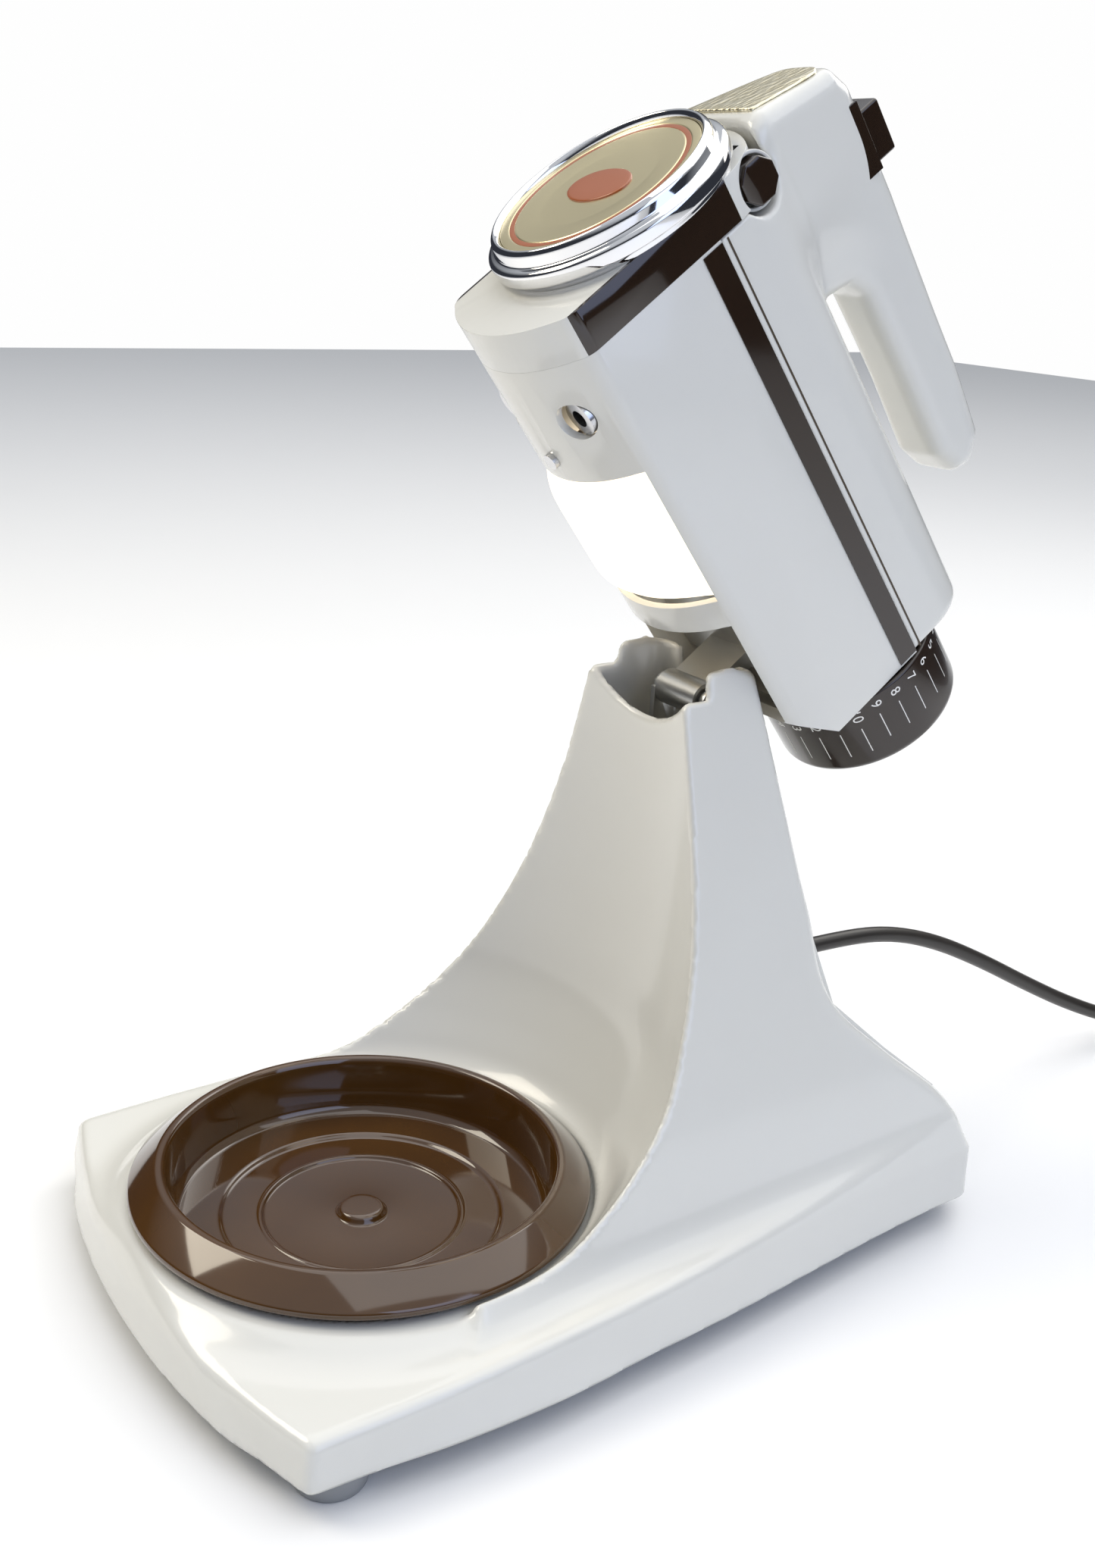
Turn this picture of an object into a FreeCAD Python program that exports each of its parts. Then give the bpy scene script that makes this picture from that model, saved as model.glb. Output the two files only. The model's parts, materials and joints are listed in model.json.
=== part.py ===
"""Stand mixer with a tilting head, a free-turning turntable and its mains lead.

Every size is a cell of the sheet "sizes".  Stand pieces are placed from the chord that joins the two
front corners of the base; head pieces are built level about the hinge pin and then tilted back.
In the head, "ahead" is the distance forward of the hinge pin and "above" the distance over it.
"""
import FreeCAD, Part
import math
import os
import re
import Sketcher
from FreeCAD import Placement, Rotation, Vector

doc = FreeCAD.newDocument("stand_mixer")
sheet = doc.addObject("Spreadsheet::Sheet", "sizes")

SIZES = {
    # frame
    "origin_setback": 159.6,        # front chord of the base to the origin
    # base
    "base_half_width": 110, "base_rear_half_width": 77, "base_length": 314.6,
    "front_bow": 17.5, "side_bow": 11.2, "base_front_height": 27.5, "base_rear_height": 41.4,
    "base_underside": 10.7, "flare_out": 3, "shell_wall": 3,
    "plate_thickness": 2, "foot_radius": 14, "foot_inset": 15, "foot_hole_radius": 2,
    # turntable
    "table_setback": 73.8, "table_radius": 85.5, "table_ridge_radius": 74, "table_floor_radius": 70,
    "table_skirt_height": 38.9, "table_ridge_height": 50.1, "table_floor_height": 24,
    "table_floor_thickness": 3, "well_radius": 79.5, "well_floor_height": 18, "mound_height": 36,
    "mound_top_radius": 88, "mound_foot_radius": 100, "spindle_radius": 4, "hub_radius": 14,
    "running_gap": 0.05,
    # column and hinge
    "column_top_height": 229, "column_top_half_width": 27.5, "column_top_front": 181,
    "column_top_rear": 219.5, "rim_dip": 11, "rim_drop": 12, "pivot_drop": 17,
    "bracket_drop": 44,
    "rim_front_height": "=column_top_height - rim_drop",
    "pivot_setback": 210, "pivot_height": "=column_top_height - pivot_drop", "tilt_back": 52.5, "pin_radius": 3,
    "bracket_base_height": "=column_top_height - bracket_drop",
    "ear_inside": 13, "ear_thickness": 2.5, "cover_thickness": 2.2,
    "relief_height": 90, "relief_radius": 6,
    # head
    "head_half_width": 36, "head_wall": 2.5, "seam_above": 76.4, "crown_above": 115.5,
    "keel_above": 2, "chine_above": 12.6, "chine_half_width": 31, "head_ahead": 150,
    "nose_depth": 15, "head_behind": 37, "axis_above": 66.4, "opening_ahead": 33,
    "opening_behind": 17, "lens_start": 45, "lens_length": 59, "lens_half_width": 33,
    "lens_drop": 3.6, "lens_thickness": 2.4, "trim_thickness": 1.4, "trim_top": 87,
    "stripe_width": 9, "stripe_proud": 0.4,
    # nose cap
    "cap_radius": 44.5, "cap_rim_radius": 41, "disc_radius": 37.5, "cap_depth": 14,
    # handle
    "handle_half_width": 14, "handle_under": 139, "handle_top": 166, "handle_tip_behind": 10,
    "gap_ahead": 86, "front_lean": 11, "plate_half_width": 20,
    # drive
    "spindle_ahead": 128.7, "spindle_spread": 21, "spindle_outer_radius": 6.5,
    "socket_radius": 3.25, "socket_bottom": 8.4, "spindle_top": 90, "gear_radius": 11,
    "gear_thickness": 9, "worm_radius": 9.7, "shaft_radius": 3, "stator_radius": 30,
    "stator_bore": 19, "stator_length": 32, "stator_ahead": 40, "armature_gap": 0.6,
    # controls
    "dial_radius": 38, "dial_depth": 33, "dial_gap": 0.6, "dial_shaft_radius": 4,
    "button_half_width": 12, "button_length": 20, "button_rise": 8, "button_travel": 5,
    "knob_ahead": 155, "knob_above": 101, "knob_across": 15, "knob_pocket_radius": 11,
    "knob_collar_radius": 9.8,
    # cord
    "cord_width": 7,
}
for row, (name, value) in enumerate(SIZES.items(), start=1):
    sheet.set(f"A{row}", name)
    sheet.set(f"B{row}", str(value))
    sheet.setAlias(f"B{row}", name)
doc.recompute()


def size(name):
    """The number that the sheet holds under an alias."""
    return float(getattr(sheet, name))


def bound(text):
    """An expression in which every alias of the sheet is read from the sheet."""
    return re.sub(r"\w+", lambda word: f"sizes.{word[0]}" if word[0] in SIZES else word[0], text)


def bind(piece, **expressions):
    """Bind properties of an object to expressions in the sheet's aliases."""
    for prop, text in expressions.items():
        piece.setExpression(prop.replace("__", "."), bound(text))
    return piece


PARTS = []


def place_on_stand(piece):
    """Move a finished stand piece from the front chord's frame to the part's frame."""
    piece.setExpression("Placement.Base.y", bound("0 - origin_setback"))
    return piece


def place_on_head(piece):
    """Tilt a finished head piece back about the hinge pin and put it on the stand."""
    piece.Placement = Placement(Vector(0, 0, 0), Rotation(Vector(1, 0, 0), -size("tilt_back")))
    piece.setExpression("Placement.Base.y", bound("pivot_setback - origin_setback"))
    piece.setExpression("Placement.Base.z", bound("pivot_height"))
    return piece


def keep(piece, node, place):
    """Name a finished piece after its node, place it and list it for export.

    A lone box or cylinder goes into a group first, because its own place is already bound.
    """
    if piece.TypeId in ("Part::Box", "Part::Cylinder"):
        piece = group(node + "_held", piece)
    piece.Label = node
    place(piece)
    PARTS.append(piece)
    return piece


AXES = {"x": Rotation(Vector(0, 1, 0), 90), "y": Rotation(Vector(1, 0, 0), -90), "z": Rotation()}


def at(piece, x, y, z):
    """Bind the three coordinates of an object's base point."""
    for letter, text in zip("xyz", (x, y, z)):
        piece.setExpression(f"Placement.Base.{letter}", bound(text))
    return piece


def box(name, x, y, z, length, width, height):
    """A box from its lowest corner and its three sides, all as expressions."""
    piece = doc.addObject("Part::Box", name)
    return at(bind(piece, Length=length, Width=width, Height=height), x, y, z)


def rod(name, x, y, z, radius, length, axis="z"):
    """A cylinder along an axis from the centre of its first end."""
    piece = doc.addObject("Part::Cylinder", name)
    piece.Placement = Placement(Vector(), AXES[axis])
    return at(bind(piece, Radius=radius, Height=length), x, y, z)


def taper(name, x, y, z, first, second, length, axis="z"):
    """A cone along an axis from the centre of its first end."""
    piece = doc.addObject("Part::Cone", name)
    piece.Placement = Placement(Vector(), AXES[axis])
    return at(bind(piece, Radius1=first, Radius2=second, Height=length), x, y, z)


def join(name, *pieces):
    """One solid out of several."""
    piece = doc.addObject("Part::MultiFuse", name)
    piece.Shapes = list(pieces)
    return piece


def cut(name, base, *tools):
    """A solid with the others taken out of it."""
    piece = doc.addObject("Part::Cut", name)
    piece.Base = base
    piece.Tool = tools[0] if len(tools) == 1 else join(name + "_tools", *tools)
    return piece


def group(name, *pieces):
    """Several separate solids under one name."""
    piece = doc.addObject("Part::Compound", name)
    piece.Links = list(pieces)
    return piece


def shaped(name, shape):
    """A feature that holds a shape worked out with Part's own functions."""
    piece = doc.addObject("Part::Feature", name)
    piece.Shape = shape
    return piece


def revolved(name, profile):
    """A PartDesign body: a closed profile of (radius, height) expressions turned about Z."""
    body = doc.addObject("PartDesign::Body", name)
    sketch = body.newObject("Sketcher::SketchObject", name + "_profile")
    plane = next(f for f in body.Origin.OriginFeatures if f.Role == "XZ_Plane")
    sketch.AttachmentSupport = (plane, [""])
    sketch.MapMode = "FlatFace"
    count = len(profile)
    corners = [Vector(20 + 3 * index, 5 * index * index, 0) for index in range(count)]
    for first, second in zip(corners, corners[1:] + corners[:1]):
        sketch.addGeometry(Part.LineSegment(first, second), False)
    for index in range(count):
        sketch.addConstraint(Sketcher.Constraint("Coincident", index, 2, (index + 1) % count, 1))
    for index, (radius, height) in enumerate(profile):
        for kind, text, value in (("DistanceX", radius, corners[index].x),
                                  ("DistanceY", height, corners[index].y)):
            number = sketch.addConstraint(Sketcher.Constraint(kind, -1, 1, index, 1, value))
            label = f"{kind[-1].lower()}{index}"
            sketch.renameConstraint(number, label)
            sketch.setExpression(f"Constraints.{label}", bound(text))
    turn = body.newObject("PartDesign::Revolution", name + "_turned")
    turn.Profile = sketch
    turn.ReferenceAxis = (sketch, ["V_Axis"])
    turn.Angle = 360
    return body


def place_on_table(piece):
    """Put a piece that is built about Z on the turntable's axis."""
    piece.setExpression("Placement.Base.y", bound("table_setback - origin_setback"))
    return piece


def place_on_motor_axis(piece):
    """Turn a piece built about Z to face forward on the motor's axis in the tilted head."""
    tilt = Rotation(Vector(1, 0, 0), -size("tilt_back"))
    piece.Placement = Placement(Vector(), tilt * Rotation(Vector(1, 0, 0), 90))
    piece.setExpression("Placement.Base.y", bound(
        "pivot_setback - origin_setback + axis_above * sin(tilt_back * 1deg)"))
    piece.setExpression("Placement.Base.z", bound(
        "pivot_height + axis_above * cos(tilt_back * 1deg)"))
    return piece


# ---------------------------------------------------------------- stand shapes
def plan_wire(inset, level):
    """The outline of the base, drawn in by inset, at one height."""
    half, rear_half = size("base_half_width") - inset, size("base_rear_half_width") - inset
    front, rear = inset, size("base_length") - inset
    middle = (front + rear) / 2
    side = (half + rear_half) / 2 + size("side_bow")

    def corner(x, y):
        return Vector(x, y, level)

    left, nose, right = corner(-half, front), corner(0, front - size("front_bow")), corner(half, front)
    back_right, back_left = corner(rear_half, rear), corner(-rear_half, rear)
    edges = [Part.Arc(left, nose, right), Part.Arc(right, corner(side, middle), back_right),
             Part.LineSegment(back_right, back_left),
             Part.Arc(back_left, corner(-side, middle), left)]
    return Part.Wire([edge.toShape() for edge in edges])


def base_top(y):
    """Height of the sloping edge of the base at a distance behind the front chord."""
    rise = size("base_rear_height") - size("base_front_height")
    return size("base_front_height") + rise * y / size("base_length")


def slab(inset, low, drop):
    """The solid from the height low up to drop below the sloping top, with leaning walls."""
    front_height, tall = size("base_front_height"), size("base_rear_height") + 20
    lean = size("flare_out") / (front_height - size("base_underside"))
    wires = [plan_wire(inset + lean * (level - front_height), level) for level in (low, tall)]
    block = Part.makeLoft(wires, True, True)
    slope = math.degrees(math.atan2(size("base_rear_height") - front_height, size("base_length")))
    lid = Part.makeBox(600, 900, 200, Vector(-300, -200, 0))
    lid.Placement = Placement(Vector(0, 0, front_height - drop), Rotation(Vector(1, 0, 0), slope))
    return block.cut(lid)


# share of the column's height, how much wider each side is there, how much further back its rear is
COLUMN_SPREAD = ((1.0, 0.0, 0.0), (0.75, 13.6, 9.0), (0.54, 26.9, 15.5), (0.33, 40.9, 25.5),
                 (0.225, 48.5, 48.0), (0.12, 55.0, 73.0), (0.0, 62.0, 86.0))
COLUMN_FOOT_LIFT = 6
# how far outside the mound's top edge the concave front stands, and the height it does so at
SCOOP_STEPS = ((5, 46), (14, 62), (22, 80), (26, 100))


def stations():
    """The column's levels: height, half width, front and rear distances from the front chord."""
    top, half = size("column_top_height"), size("column_top_half_width")
    front, rear = size("table_setback"), size("column_top_rear")
    foot = size("base_front_height") + COLUMN_FOOT_LIFT
    return [(foot + share * (top - foot), half + wide, front, rear + back)
            for share, wide, back in COLUMN_SPREAD]


def column(inset, lift):
    """The column's tapering block, drawn in by inset and carried lift above its top."""
    wires = []
    for height, half, front, rear in stations():
        half, rear = half - inset, rear - inset
        corners = [Vector(x, y, height) for x, y in
                   ((-half, front), (half, front), (half, rear), (-half, rear), (-half, front))]
        wires.append(Part.makePolygon(corners))
    block = Part.makeLoft(wires, True, True)
    height, half, front, rear = stations()[0]
    if lift:
        block = block.fuse(Part.makeBox(2 * (half - inset), rear - inset - front, lift,
                                        Vector(-half + inset, front, height)))
    return block


def scoop(inset):
    """What the concave front of the column is turned out of, about the turntable's axis."""
    clear = size("mound_top_radius")
    top = size("column_top_height") + 30
    steps = [(clear + out, height) for out, height in SCOOP_STEPS]
    profile = [(0, size("mound_height")), (clear, size("mound_height"))] + steps
    profile += [(steps[-1][0], top), (0, top)]
    points = [Vector(radius + (inset if radius else 0), 0, height) for radius, height in profile]
    face = Part.Face(Part.makePolygon(points + points[:1]))
    solid = face.revolve(Vector(0, 0, 0), Vector(0, 0, 1), 360)
    solid.translate(Vector(0, size("table_setback"), 0))
    return solid


def upright(radius, low, high):
    """A cylinder on the turntable's axis between two heights."""
    return Part.makeCylinder(radius, high - low, Vector(0, size("table_setback"), low))


def rim_cutter():
    """What is taken off the column's top: a rising rim, a dip in front and a slot behind."""
    front, rear = size("column_top_front"), size("column_top_rear")
    low, top = size("rim_front_height"), size("column_top_height")
    line = ((front - 40, low), (front + 2, low), (front + 9, low + 5.5), (front + 18, top - 1),
            (front + 27, top), (rear + 2, top - 3), (rear + 20, top - 3), (rear + 20, top + 40),
            (front - 40, top + 40))
    points = [Vector(-60, y, z) for y, z in line]
    above = Part.Face(Part.makePolygon(points + points[:1])).extrude(Vector(120, 0, 0))
    chord, dip = size("column_top_half_width"), size("rim_dip")
    radius = (chord * chord + dip * dip) / (2 * dip)
    scallop = Part.makeCylinder(radius, 55, Vector(0, front - 40, low - dip + radius), Vector(0, 1, 0))
    slot_half = size("ear_inside") + size("ear_thickness") + 1.5
    slot = Part.makeBox(2 * slot_half, 40, 60, Vector(-slot_half, rear - 8, top - 29))
    return above.fuse([scallop, slot])


def screw_posts():
    """Two posts inside the column that carry the hinge bracket, each webbed to its side wall."""
    top, seat = size("bracket_base_height"), []
    for side in (-1, 1):
        place = Vector(side * 24, size("pivot_setback") - 5, top - 30)
        post = Part.makeCylinder(5, 30, place)
        web = Part.makeBox(30, 4, 30, place + Vector(0 if side > 0 else -30, -2, 0))
        seat.append(post.fuse(web).cut(Part.makeCylinder(1.6, 20, place + Vector(0, 0, 10))))
    return seat


def stand_shape():
    """The base and column moulding: slab, mound and column, hollowed, with a well and posts."""
    wall, low = size("shell_wall"), size("base_underside")
    centre = Vector(0, size("table_setback"), base_top(0) - 4)
    mound = Part.makeCone(size("mound_foot_radius"), size("mound_top_radius"),
                          size("mound_height") - centre.z, centre)
    plan = Part.Face(plan_wire(0, low)).extrude(Vector(0, 0, 300))
    outer = slab(0, low, 0).fuse([mound.common(plan), column(0, 0).cut(scoop(0))])
    hollow = slab(wall, low - 1, wall).fuse(column(wall, 20).cut(scoop(wall)))
    well, floor = size("well_radius"), size("well_floor_height")
    cup = upright(well + wall, floor - wall, size("mound_height"))
    shell = outer.cut(hollow).fuse([cup] + [post.common(outer) for post in screw_posts()])
    shell = shell.cut([upright(well, floor, size("mound_height") + 1),
                       upright(size("spindle_radius"), floor - wall - 1, floor + 1), rim_cutter(),
                       relief_hole()])
    return shell.removeSplitter()


def relief_hole():
    """The hole through the column's rear wall for the cord's strain relief."""
    return Part.makeCylinder(size("relief_radius"), 80, Vector(0, size("column_top_rear") - 10,
                                                              size("relief_height")), Vector(0, 1, 0))


def rear_cover_shape():
    """A plate over the column's rear wall that follows its slope from level to level."""
    wires, thick = [], size("cover_thickness")
    for height, half, _, rear in stations()[1:6]:
        half -= 9
        wires.append(Part.makePolygon([Vector(x, y, height) for x, y in (
            (-half, rear), (half, rear), (half, rear + thick), (-half, rear + thick),
            (-half, rear))]))
    return Part.makeLoft(wires, True, True).cut(relief_hole())


# ---------------------------------------------------------------- head shapes
def head_section(inset, upper):
    """Half of the head's cross-section, above or below the seam, as a face across X."""
    half, seam = size("head_half_width") - inset, size("seam_above")
    if upper:
        crown = size("crown_above") - inset
        shoulder = Vector(half * 0.79, 0, seam + (crown - seam) * 0.74)
        mirror = Vector(-shoulder.x, 0, shoulder.z)
        edges = [Part.LineSegment(Vector(-half, 0, seam), Vector(half, 0, seam)),
                 Part.Arc(Vector(half, 0, seam), Vector(half * 0.955, 0, seam + 18), shoulder),
                 Part.Arc(shoulder, Vector(0, 0, crown), mirror),
                 Part.Arc(mirror, Vector(-half * 0.955, 0, seam + 18), Vector(-half, 0, seam))]
    else:
        keel, chine = size("keel_above") + inset, size("chine_above") + inset
        reach = size("chine_half_width") - inset * 0.6
        rise = chine + (half - reach) * 1.6
        bend = Vector(half - (half - reach) * 0.24, 0, chine + (rise - chine) * 0.42)
        edges = [Part.LineSegment(Vector(half, 0, seam), Vector(-half, 0, seam)),
                 Part.LineSegment(Vector(-half, 0, seam), Vector(-half, 0, rise)),
                 Part.Arc(Vector(-half, 0, rise), Vector(-bend.x, 0, bend.z), Vector(-reach, 0, chine)),
                 Part.Arc(Vector(-reach, 0, chine), Vector(0, 0, keel), Vector(reach, 0, chine)),
                 Part.Arc(Vector(reach, 0, chine), bend, Vector(half, 0, rise)),
                 Part.LineSegment(Vector(half, 0, rise), Vector(half, 0, seam))]
    return Part.Face(Part.Wire(Part.__sortEdges__([edge.toShape() for edge in edges])))


def head_block(inset, upper, back, ahead):
    """The head's section carried from back to ahead of the hinge pin."""
    face = head_section(inset, upper)
    face.translate(Vector(0, -back, 0))
    return face.extrude(Vector(0, back - ahead, 0))


def tail_cutter(inset):
    """What is rounded off the head's lower rear corner, below the dial."""
    behind, low = size("head_behind") - inset, size("chine_above")
    start, bottom = size("opening_behind") - 1 - inset, size("axis_above") - size("dial_radius")
    points = [Vector(-60, y, z) for y, z in ((start, low - 30), (start, low + inset),
              (behind, bottom + 2 + inset), (behind + 40, bottom + 2 + inset), (behind + 40, low - 30))]
    return Part.Face(Part.makePolygon(points + points[:1])).extrude(Vector(120, 0, 0))


def along(radius, back, ahead, x=0.0, above=None):
    """A cylinder that lies fore and aft in the head."""
    above = size("axis_above") if above is None else above
    return Part.makeCylinder(radius, ahead - back, Vector(x, -back, above), Vector(0, -1, 0))


def spindle_bore(side, radius, low, high):
    """A cylinder on a beater spindle's axis."""
    return Part.makeCylinder(radius, high - low,
                             Vector(side * size("spindle_spread"), -size("spindle_ahead"), low))


def slab_box(x_half, back, ahead, low, high):
    """A box centred on the head's middle plane."""
    return Part.makeBox(2 * x_half, ahead - back, high - low, Vector(-x_half, -ahead, low))


def lower_housing_shape():
    """The lower half of the head's shell, with lamp, hinge, socket and dial openings."""
    wall, behind, ahead = size("head_wall"), size("head_behind"), size("head_ahead")
    shell = head_block(0, False, -behind, ahead).cut(tail_cutter(0))
    inner = head_block(wall, False, wall - behind, ahead + 1).cut(tail_cutter(wall))
    inner = inner.fuse(slab_box(size("head_half_width") - wall, wall - behind, ahead + 1,
                                size("seam_above") - 1, size("seam_above") + 1))
    lens = size("lens_start")
    openings = [slab_box(size("lens_half_width"), lens, lens + size("lens_length"), -20, 17.5),
                slab_box(size("lens_half_width"), -size("opening_behind"), size("opening_ahead"), -20, 20),
                along(size("dial_shaft_radius") + 0.3, -behind - 1, wall - behind + 1)]
    openings += [spindle_bore(side, size("spindle_outer_radius") + 0.5, -10, 20) for side in (-1, 1)]
    openings.append(Part.makeCylinder(1.7, 20, Vector(0, -size("lens_start") - size("lens_length") - 9, -5)))
    return shell.cut(inner).cut(openings)


def knob_pocket():
    """The round notch for the nose knob, on the right side of the head, narrower at its mouth."""
    centre, across = Vector(2, -size("knob_ahead"), size("knob_above")), Vector(1, 0, 0)
    wide = Part.makeCylinder(size("knob_pocket_radius"), 22, centre, across)
    return wide.fuse(Part.makeCylinder(size("knob_collar_radius"), 60, centre, across))


def upper_housing_shape():
    """The upper half of the head's shell, with holes for the ejector rod and the knob."""
    wall, behind, ahead = size("head_wall"), size("head_behind"), size("head_ahead")
    shell = head_block(0, True, -behind, ahead)
    inner = head_block(wall, True, wall - behind, ahead + 1)
    rod_hole = Part.makeCylinder(3, 60, Vector(0, -size("spindle_ahead"), size("seam_above")))
    return shell.cut(inner).cut([rod_hole, knob_pocket()])


def nose_shape():
    """The front cover: a shallow tray that closes the head and carries the trims and the cap."""
    wall, ahead, deep = size("head_wall"), size("head_ahead"), size("nose_depth")
    whole = head_block(0, False, ahead, ahead + deep).fuse(head_block(0, True, ahead, ahead + deep))
    inner = head_block(wall, False, ahead - 1, ahead + deep - 3)
    inner = inner.fuse(head_block(wall, True, ahead - 1, ahead + deep - 3))
    thick, half = size("trim_thickness"), size("head_half_width")
    seats = [Part.makeBox(thick + 1, deep + 2, size("trim_top") - 13,
                          Vector(half - thick if side > 0 else -half - 1, -ahead - deep - 1, 13))
             for side in (-1, 1)]
    return whole.cut(inner).cut(seats + [knob_pocket()]).removeSplitter()


def trim_shape(side):
    """A glossy strip let into one side of the nose cover."""
    thick, half, ahead = size("trim_thickness"), size("head_half_width"), size("head_ahead")
    low = Vector(half - thick if side > 0 else -half, -ahead - size("nose_depth"), 13)
    return Part.makeBox(thick, size("nose_depth"), size("trim_top") - 13, low).cut(
        head_section_outside())


def head_section_outside():
    """All that lies below the head's section near the nose, for trimming strips to it."""
    ahead, deep = size("head_ahead"), size("nose_depth")
    block = slab_box(60, ahead - 1, ahead + deep + 1, -20, size("seam_above") - 1)
    return block.cut(head_block(0, False, ahead - 2, ahead + deep + 2))


def handle_profile():
    """The handle's side outline, and the heights where it meets the head and ends its finger gap."""
    under, top, tip = size("handle_under"), size("handle_top"), -size("handle_tip_behind")
    nose = size("head_ahead") + size("nose_depth")
    crown, gap = size("crown_above"), size("gap_ahead")
    lean = size("front_lean")
    points = [(nose - 1, crown - 2), (nose + 4, crown + 4), (nose + 4 - lean, top - 5),
              (nose - 2 - lean, top), (nose - 60, top + 1), (30, top - 1), (tip + 8, top - 4),
              (tip, top - 12), (tip + 1, under + 4), (tip + 10, under - 1), (40, under),
              (gap - 8, under - 1), (gap, under - 6), (gap + 3, crown + 6), (gap - 6, crown)]
    return points, crown, gap


def handle_shape():
    """The open-ended handle, bored for the ejector."""
    points, crown, gap = handle_profile()
    outline = [Vector(0, -ahead, above) for ahead, above in points]
    outline += [Vector(0, -gap + 6, crown - 4), Vector(0, -size("head_ahead") - size("nose_depth") + 1,
                                                       crown - 4)]
    face = Part.Face(Part.makePolygon(outline + outline[:1]))
    half = size("handle_half_width")
    solid = face.extrude(Vector(2 * half, 0, 0))
    solid.translate(Vector(-half, 0, 0))
    behind, ahead = size("head_behind"), size("head_ahead")
    body = head_block(0, True, -behind, ahead + size("nose_depth"))
    button = size("button_half_width") + 0.4
    centre, reach = size("spindle_ahead"), size("button_length") / 2 + 0.4
    pocket = slab_box(button, centre - reach, centre + reach, size("handle_top") - 28, 200)
    hole = Part.makeCylinder(3, 90, Vector(0, -centre, size("crown_above") - 5))
    knob = knob_pocket()
    return solid.cut([body, pocket, hole, knob])


def handle_plate_shape():
    """The thin textured plate on the handle's leaning front."""
    nose = size("head_ahead") + size("nose_depth")
    low, high = size("crown_above") + 5, size("handle_top") - 6
    lean, half, thick = size("front_lean"), size("plate_half_width"), 1.0
    span = size("handle_top") - 5 - (size("crown_above") + 4)

    def front(above):
        return nose + 4 - lean * (above - size("crown_above") - 4) / span

    wires = []
    for above, wide in ((low, size("handle_half_width")), (high, half * 0.5)):
        y = -front(above)
        wires.append(Part.makePolygon([Vector(x, depth, above) for x, depth in (
            (-wide, y), (wide, y), (wide, y - thick), (-wide, y - thick), (-wide, y))]))
    return Part.makeLoft(wires, True, True)


def lens_shape():
    """The lamp's lens: a strip of arc that bulges below the head."""
    half, drop, thick = size("lens_half_width") - 0.3, size("lens_drop"), size("lens_thickness")
    start, end = size("lens_start") + 0.3, size("lens_start") + size("lens_length") - 0.3
    edge = 14.5
    keel = size("keel_above") - drop
    outer = Part.Arc(Vector(-half, 0, edge), Vector(0, 0, keel), Vector(half, 0, edge)).toShape()
    inner = Part.Arc(Vector(half, 0, edge + thick), Vector(0, 0, keel + thick),
                     Vector(-half, 0, edge + thick)).toShape()
    sides = [Part.LineSegment(Vector(x, 0, edge), Vector(x, 0, edge + thick)).toShape()
             for x in (-half, half)]
    face = Part.Face(Part.Wire(Part.__sortEdges__([outer, inner] + sides)))
    face.translate(Vector(0, -start, 0))
    return face.extrude(Vector(0, start - end, 0))


def fan_shape():
    """The cooling fan: a hub and seven straight blades on the motor's shaft."""
    start, deep, hub, reach = 84, 9, 9, 25
    hub_solid = along(hub, start, start + deep)
    blades = []
    for index in range(7):
        blade = Part.makeBox(1.2, deep, reach - hub + 2,
                             Vector(-0.6, -start - deep, size("axis_above") + hub - 2))
        blade.rotate(Vector(0, 0, size("axis_above")), Vector(0, 1, 0), index * 360 / 7)
        blades.append(blade)
    return hub_solid.fuse(blades).cut(along(size("shaft_radius"), start - 1, start + deep + 1))


def stator_shape():
    """The field core: a stack of laminations with two pole gaps and slots for its coils."""
    start, end = size("stator_ahead"), size("stator_ahead") + size("stator_length")
    ring = along(size("stator_radius"), start, end).cut(along(size("stator_bore"), start - 1, end + 1))
    radius, axis = size("stator_radius"), size("axis_above")
    gaps = [Part.makeBox(8, end - start + 2, 12, Vector(-4, -end - 1, axis + side * (radius - 7) - 6))
            for side in (-1, 1)]
    gaps = [gap.common(along(radius - 4, start - 1, end + 1)) for gap in gaps]
    return ring.cut(gaps + [coil_shape(side) for side in (-1, 1)])


def coil_shape(side):
    """One field coil: a bent block of wire that stands out of both ends of the core."""
    start, end = size("stator_ahead") - 9, size("stator_ahead") + size("stator_length") + 9
    bore, axis = size("stator_bore"), size("axis_above")
    ring = along(bore + 8, start, end).cut(along(bore + 1, start - 1, end + 1))
    keep_side = Part.makeBox(bore + 9, end - start, 24,
                             Vector(6 if side > 0 else -bore - 15, -end, axis - 12))
    return ring.common(keep_side)


def toothed_wheel(side):
    """A worm wheel on a beater spindle, clear of the worm by 0.3."""
    radius, thick = size("gear_radius"), size("gear_thickness")
    low = size("axis_above") - thick / 2
    wheel = spindle_bore(side, radius, low, low + thick)
    centre = Vector(side * size("spindle_spread"), -size("spindle_ahead"), 0)
    teeth = 20
    notches = []
    for index in range(teeth):
        notch = Part.makeCylinder(0.7, thick + 2, centre + Vector(radius + 0.1, 0, low - 1))
        notch.rotate(centre, Vector(0, 0, 1), (index + 0.5) * 360 / teeth)
        notches.append(notch)
    return wheel.cut(notches + [spindle_bore(side, size("spindle_outer_radius"), low - 1, low + 20)])


def gearbox_shape():
    """The gear frame: a casting open in front and at its sides, bored for shaft and spindles."""
    half = size("head_half_width") - size("head_wall") - 0.8
    back, front, low, high = 104, size("head_ahead") - 2, 24, size("spindle_top") - 3
    block = slab_box(half, back, front, low, high)
    cavity = slab_box(half + 1, back + 5, front + 1, low + 8, high - 8)
    outer = size("spindle_outer_radius")
    bores = [along(size("shaft_radius") + 5, back - 1, back + 6)]
    bores += [spindle_bore(side, outer + 2.5, low - 1, high + 1) for side in (-1, 1)]
    return block.cut([cavity] + bores)


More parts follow.
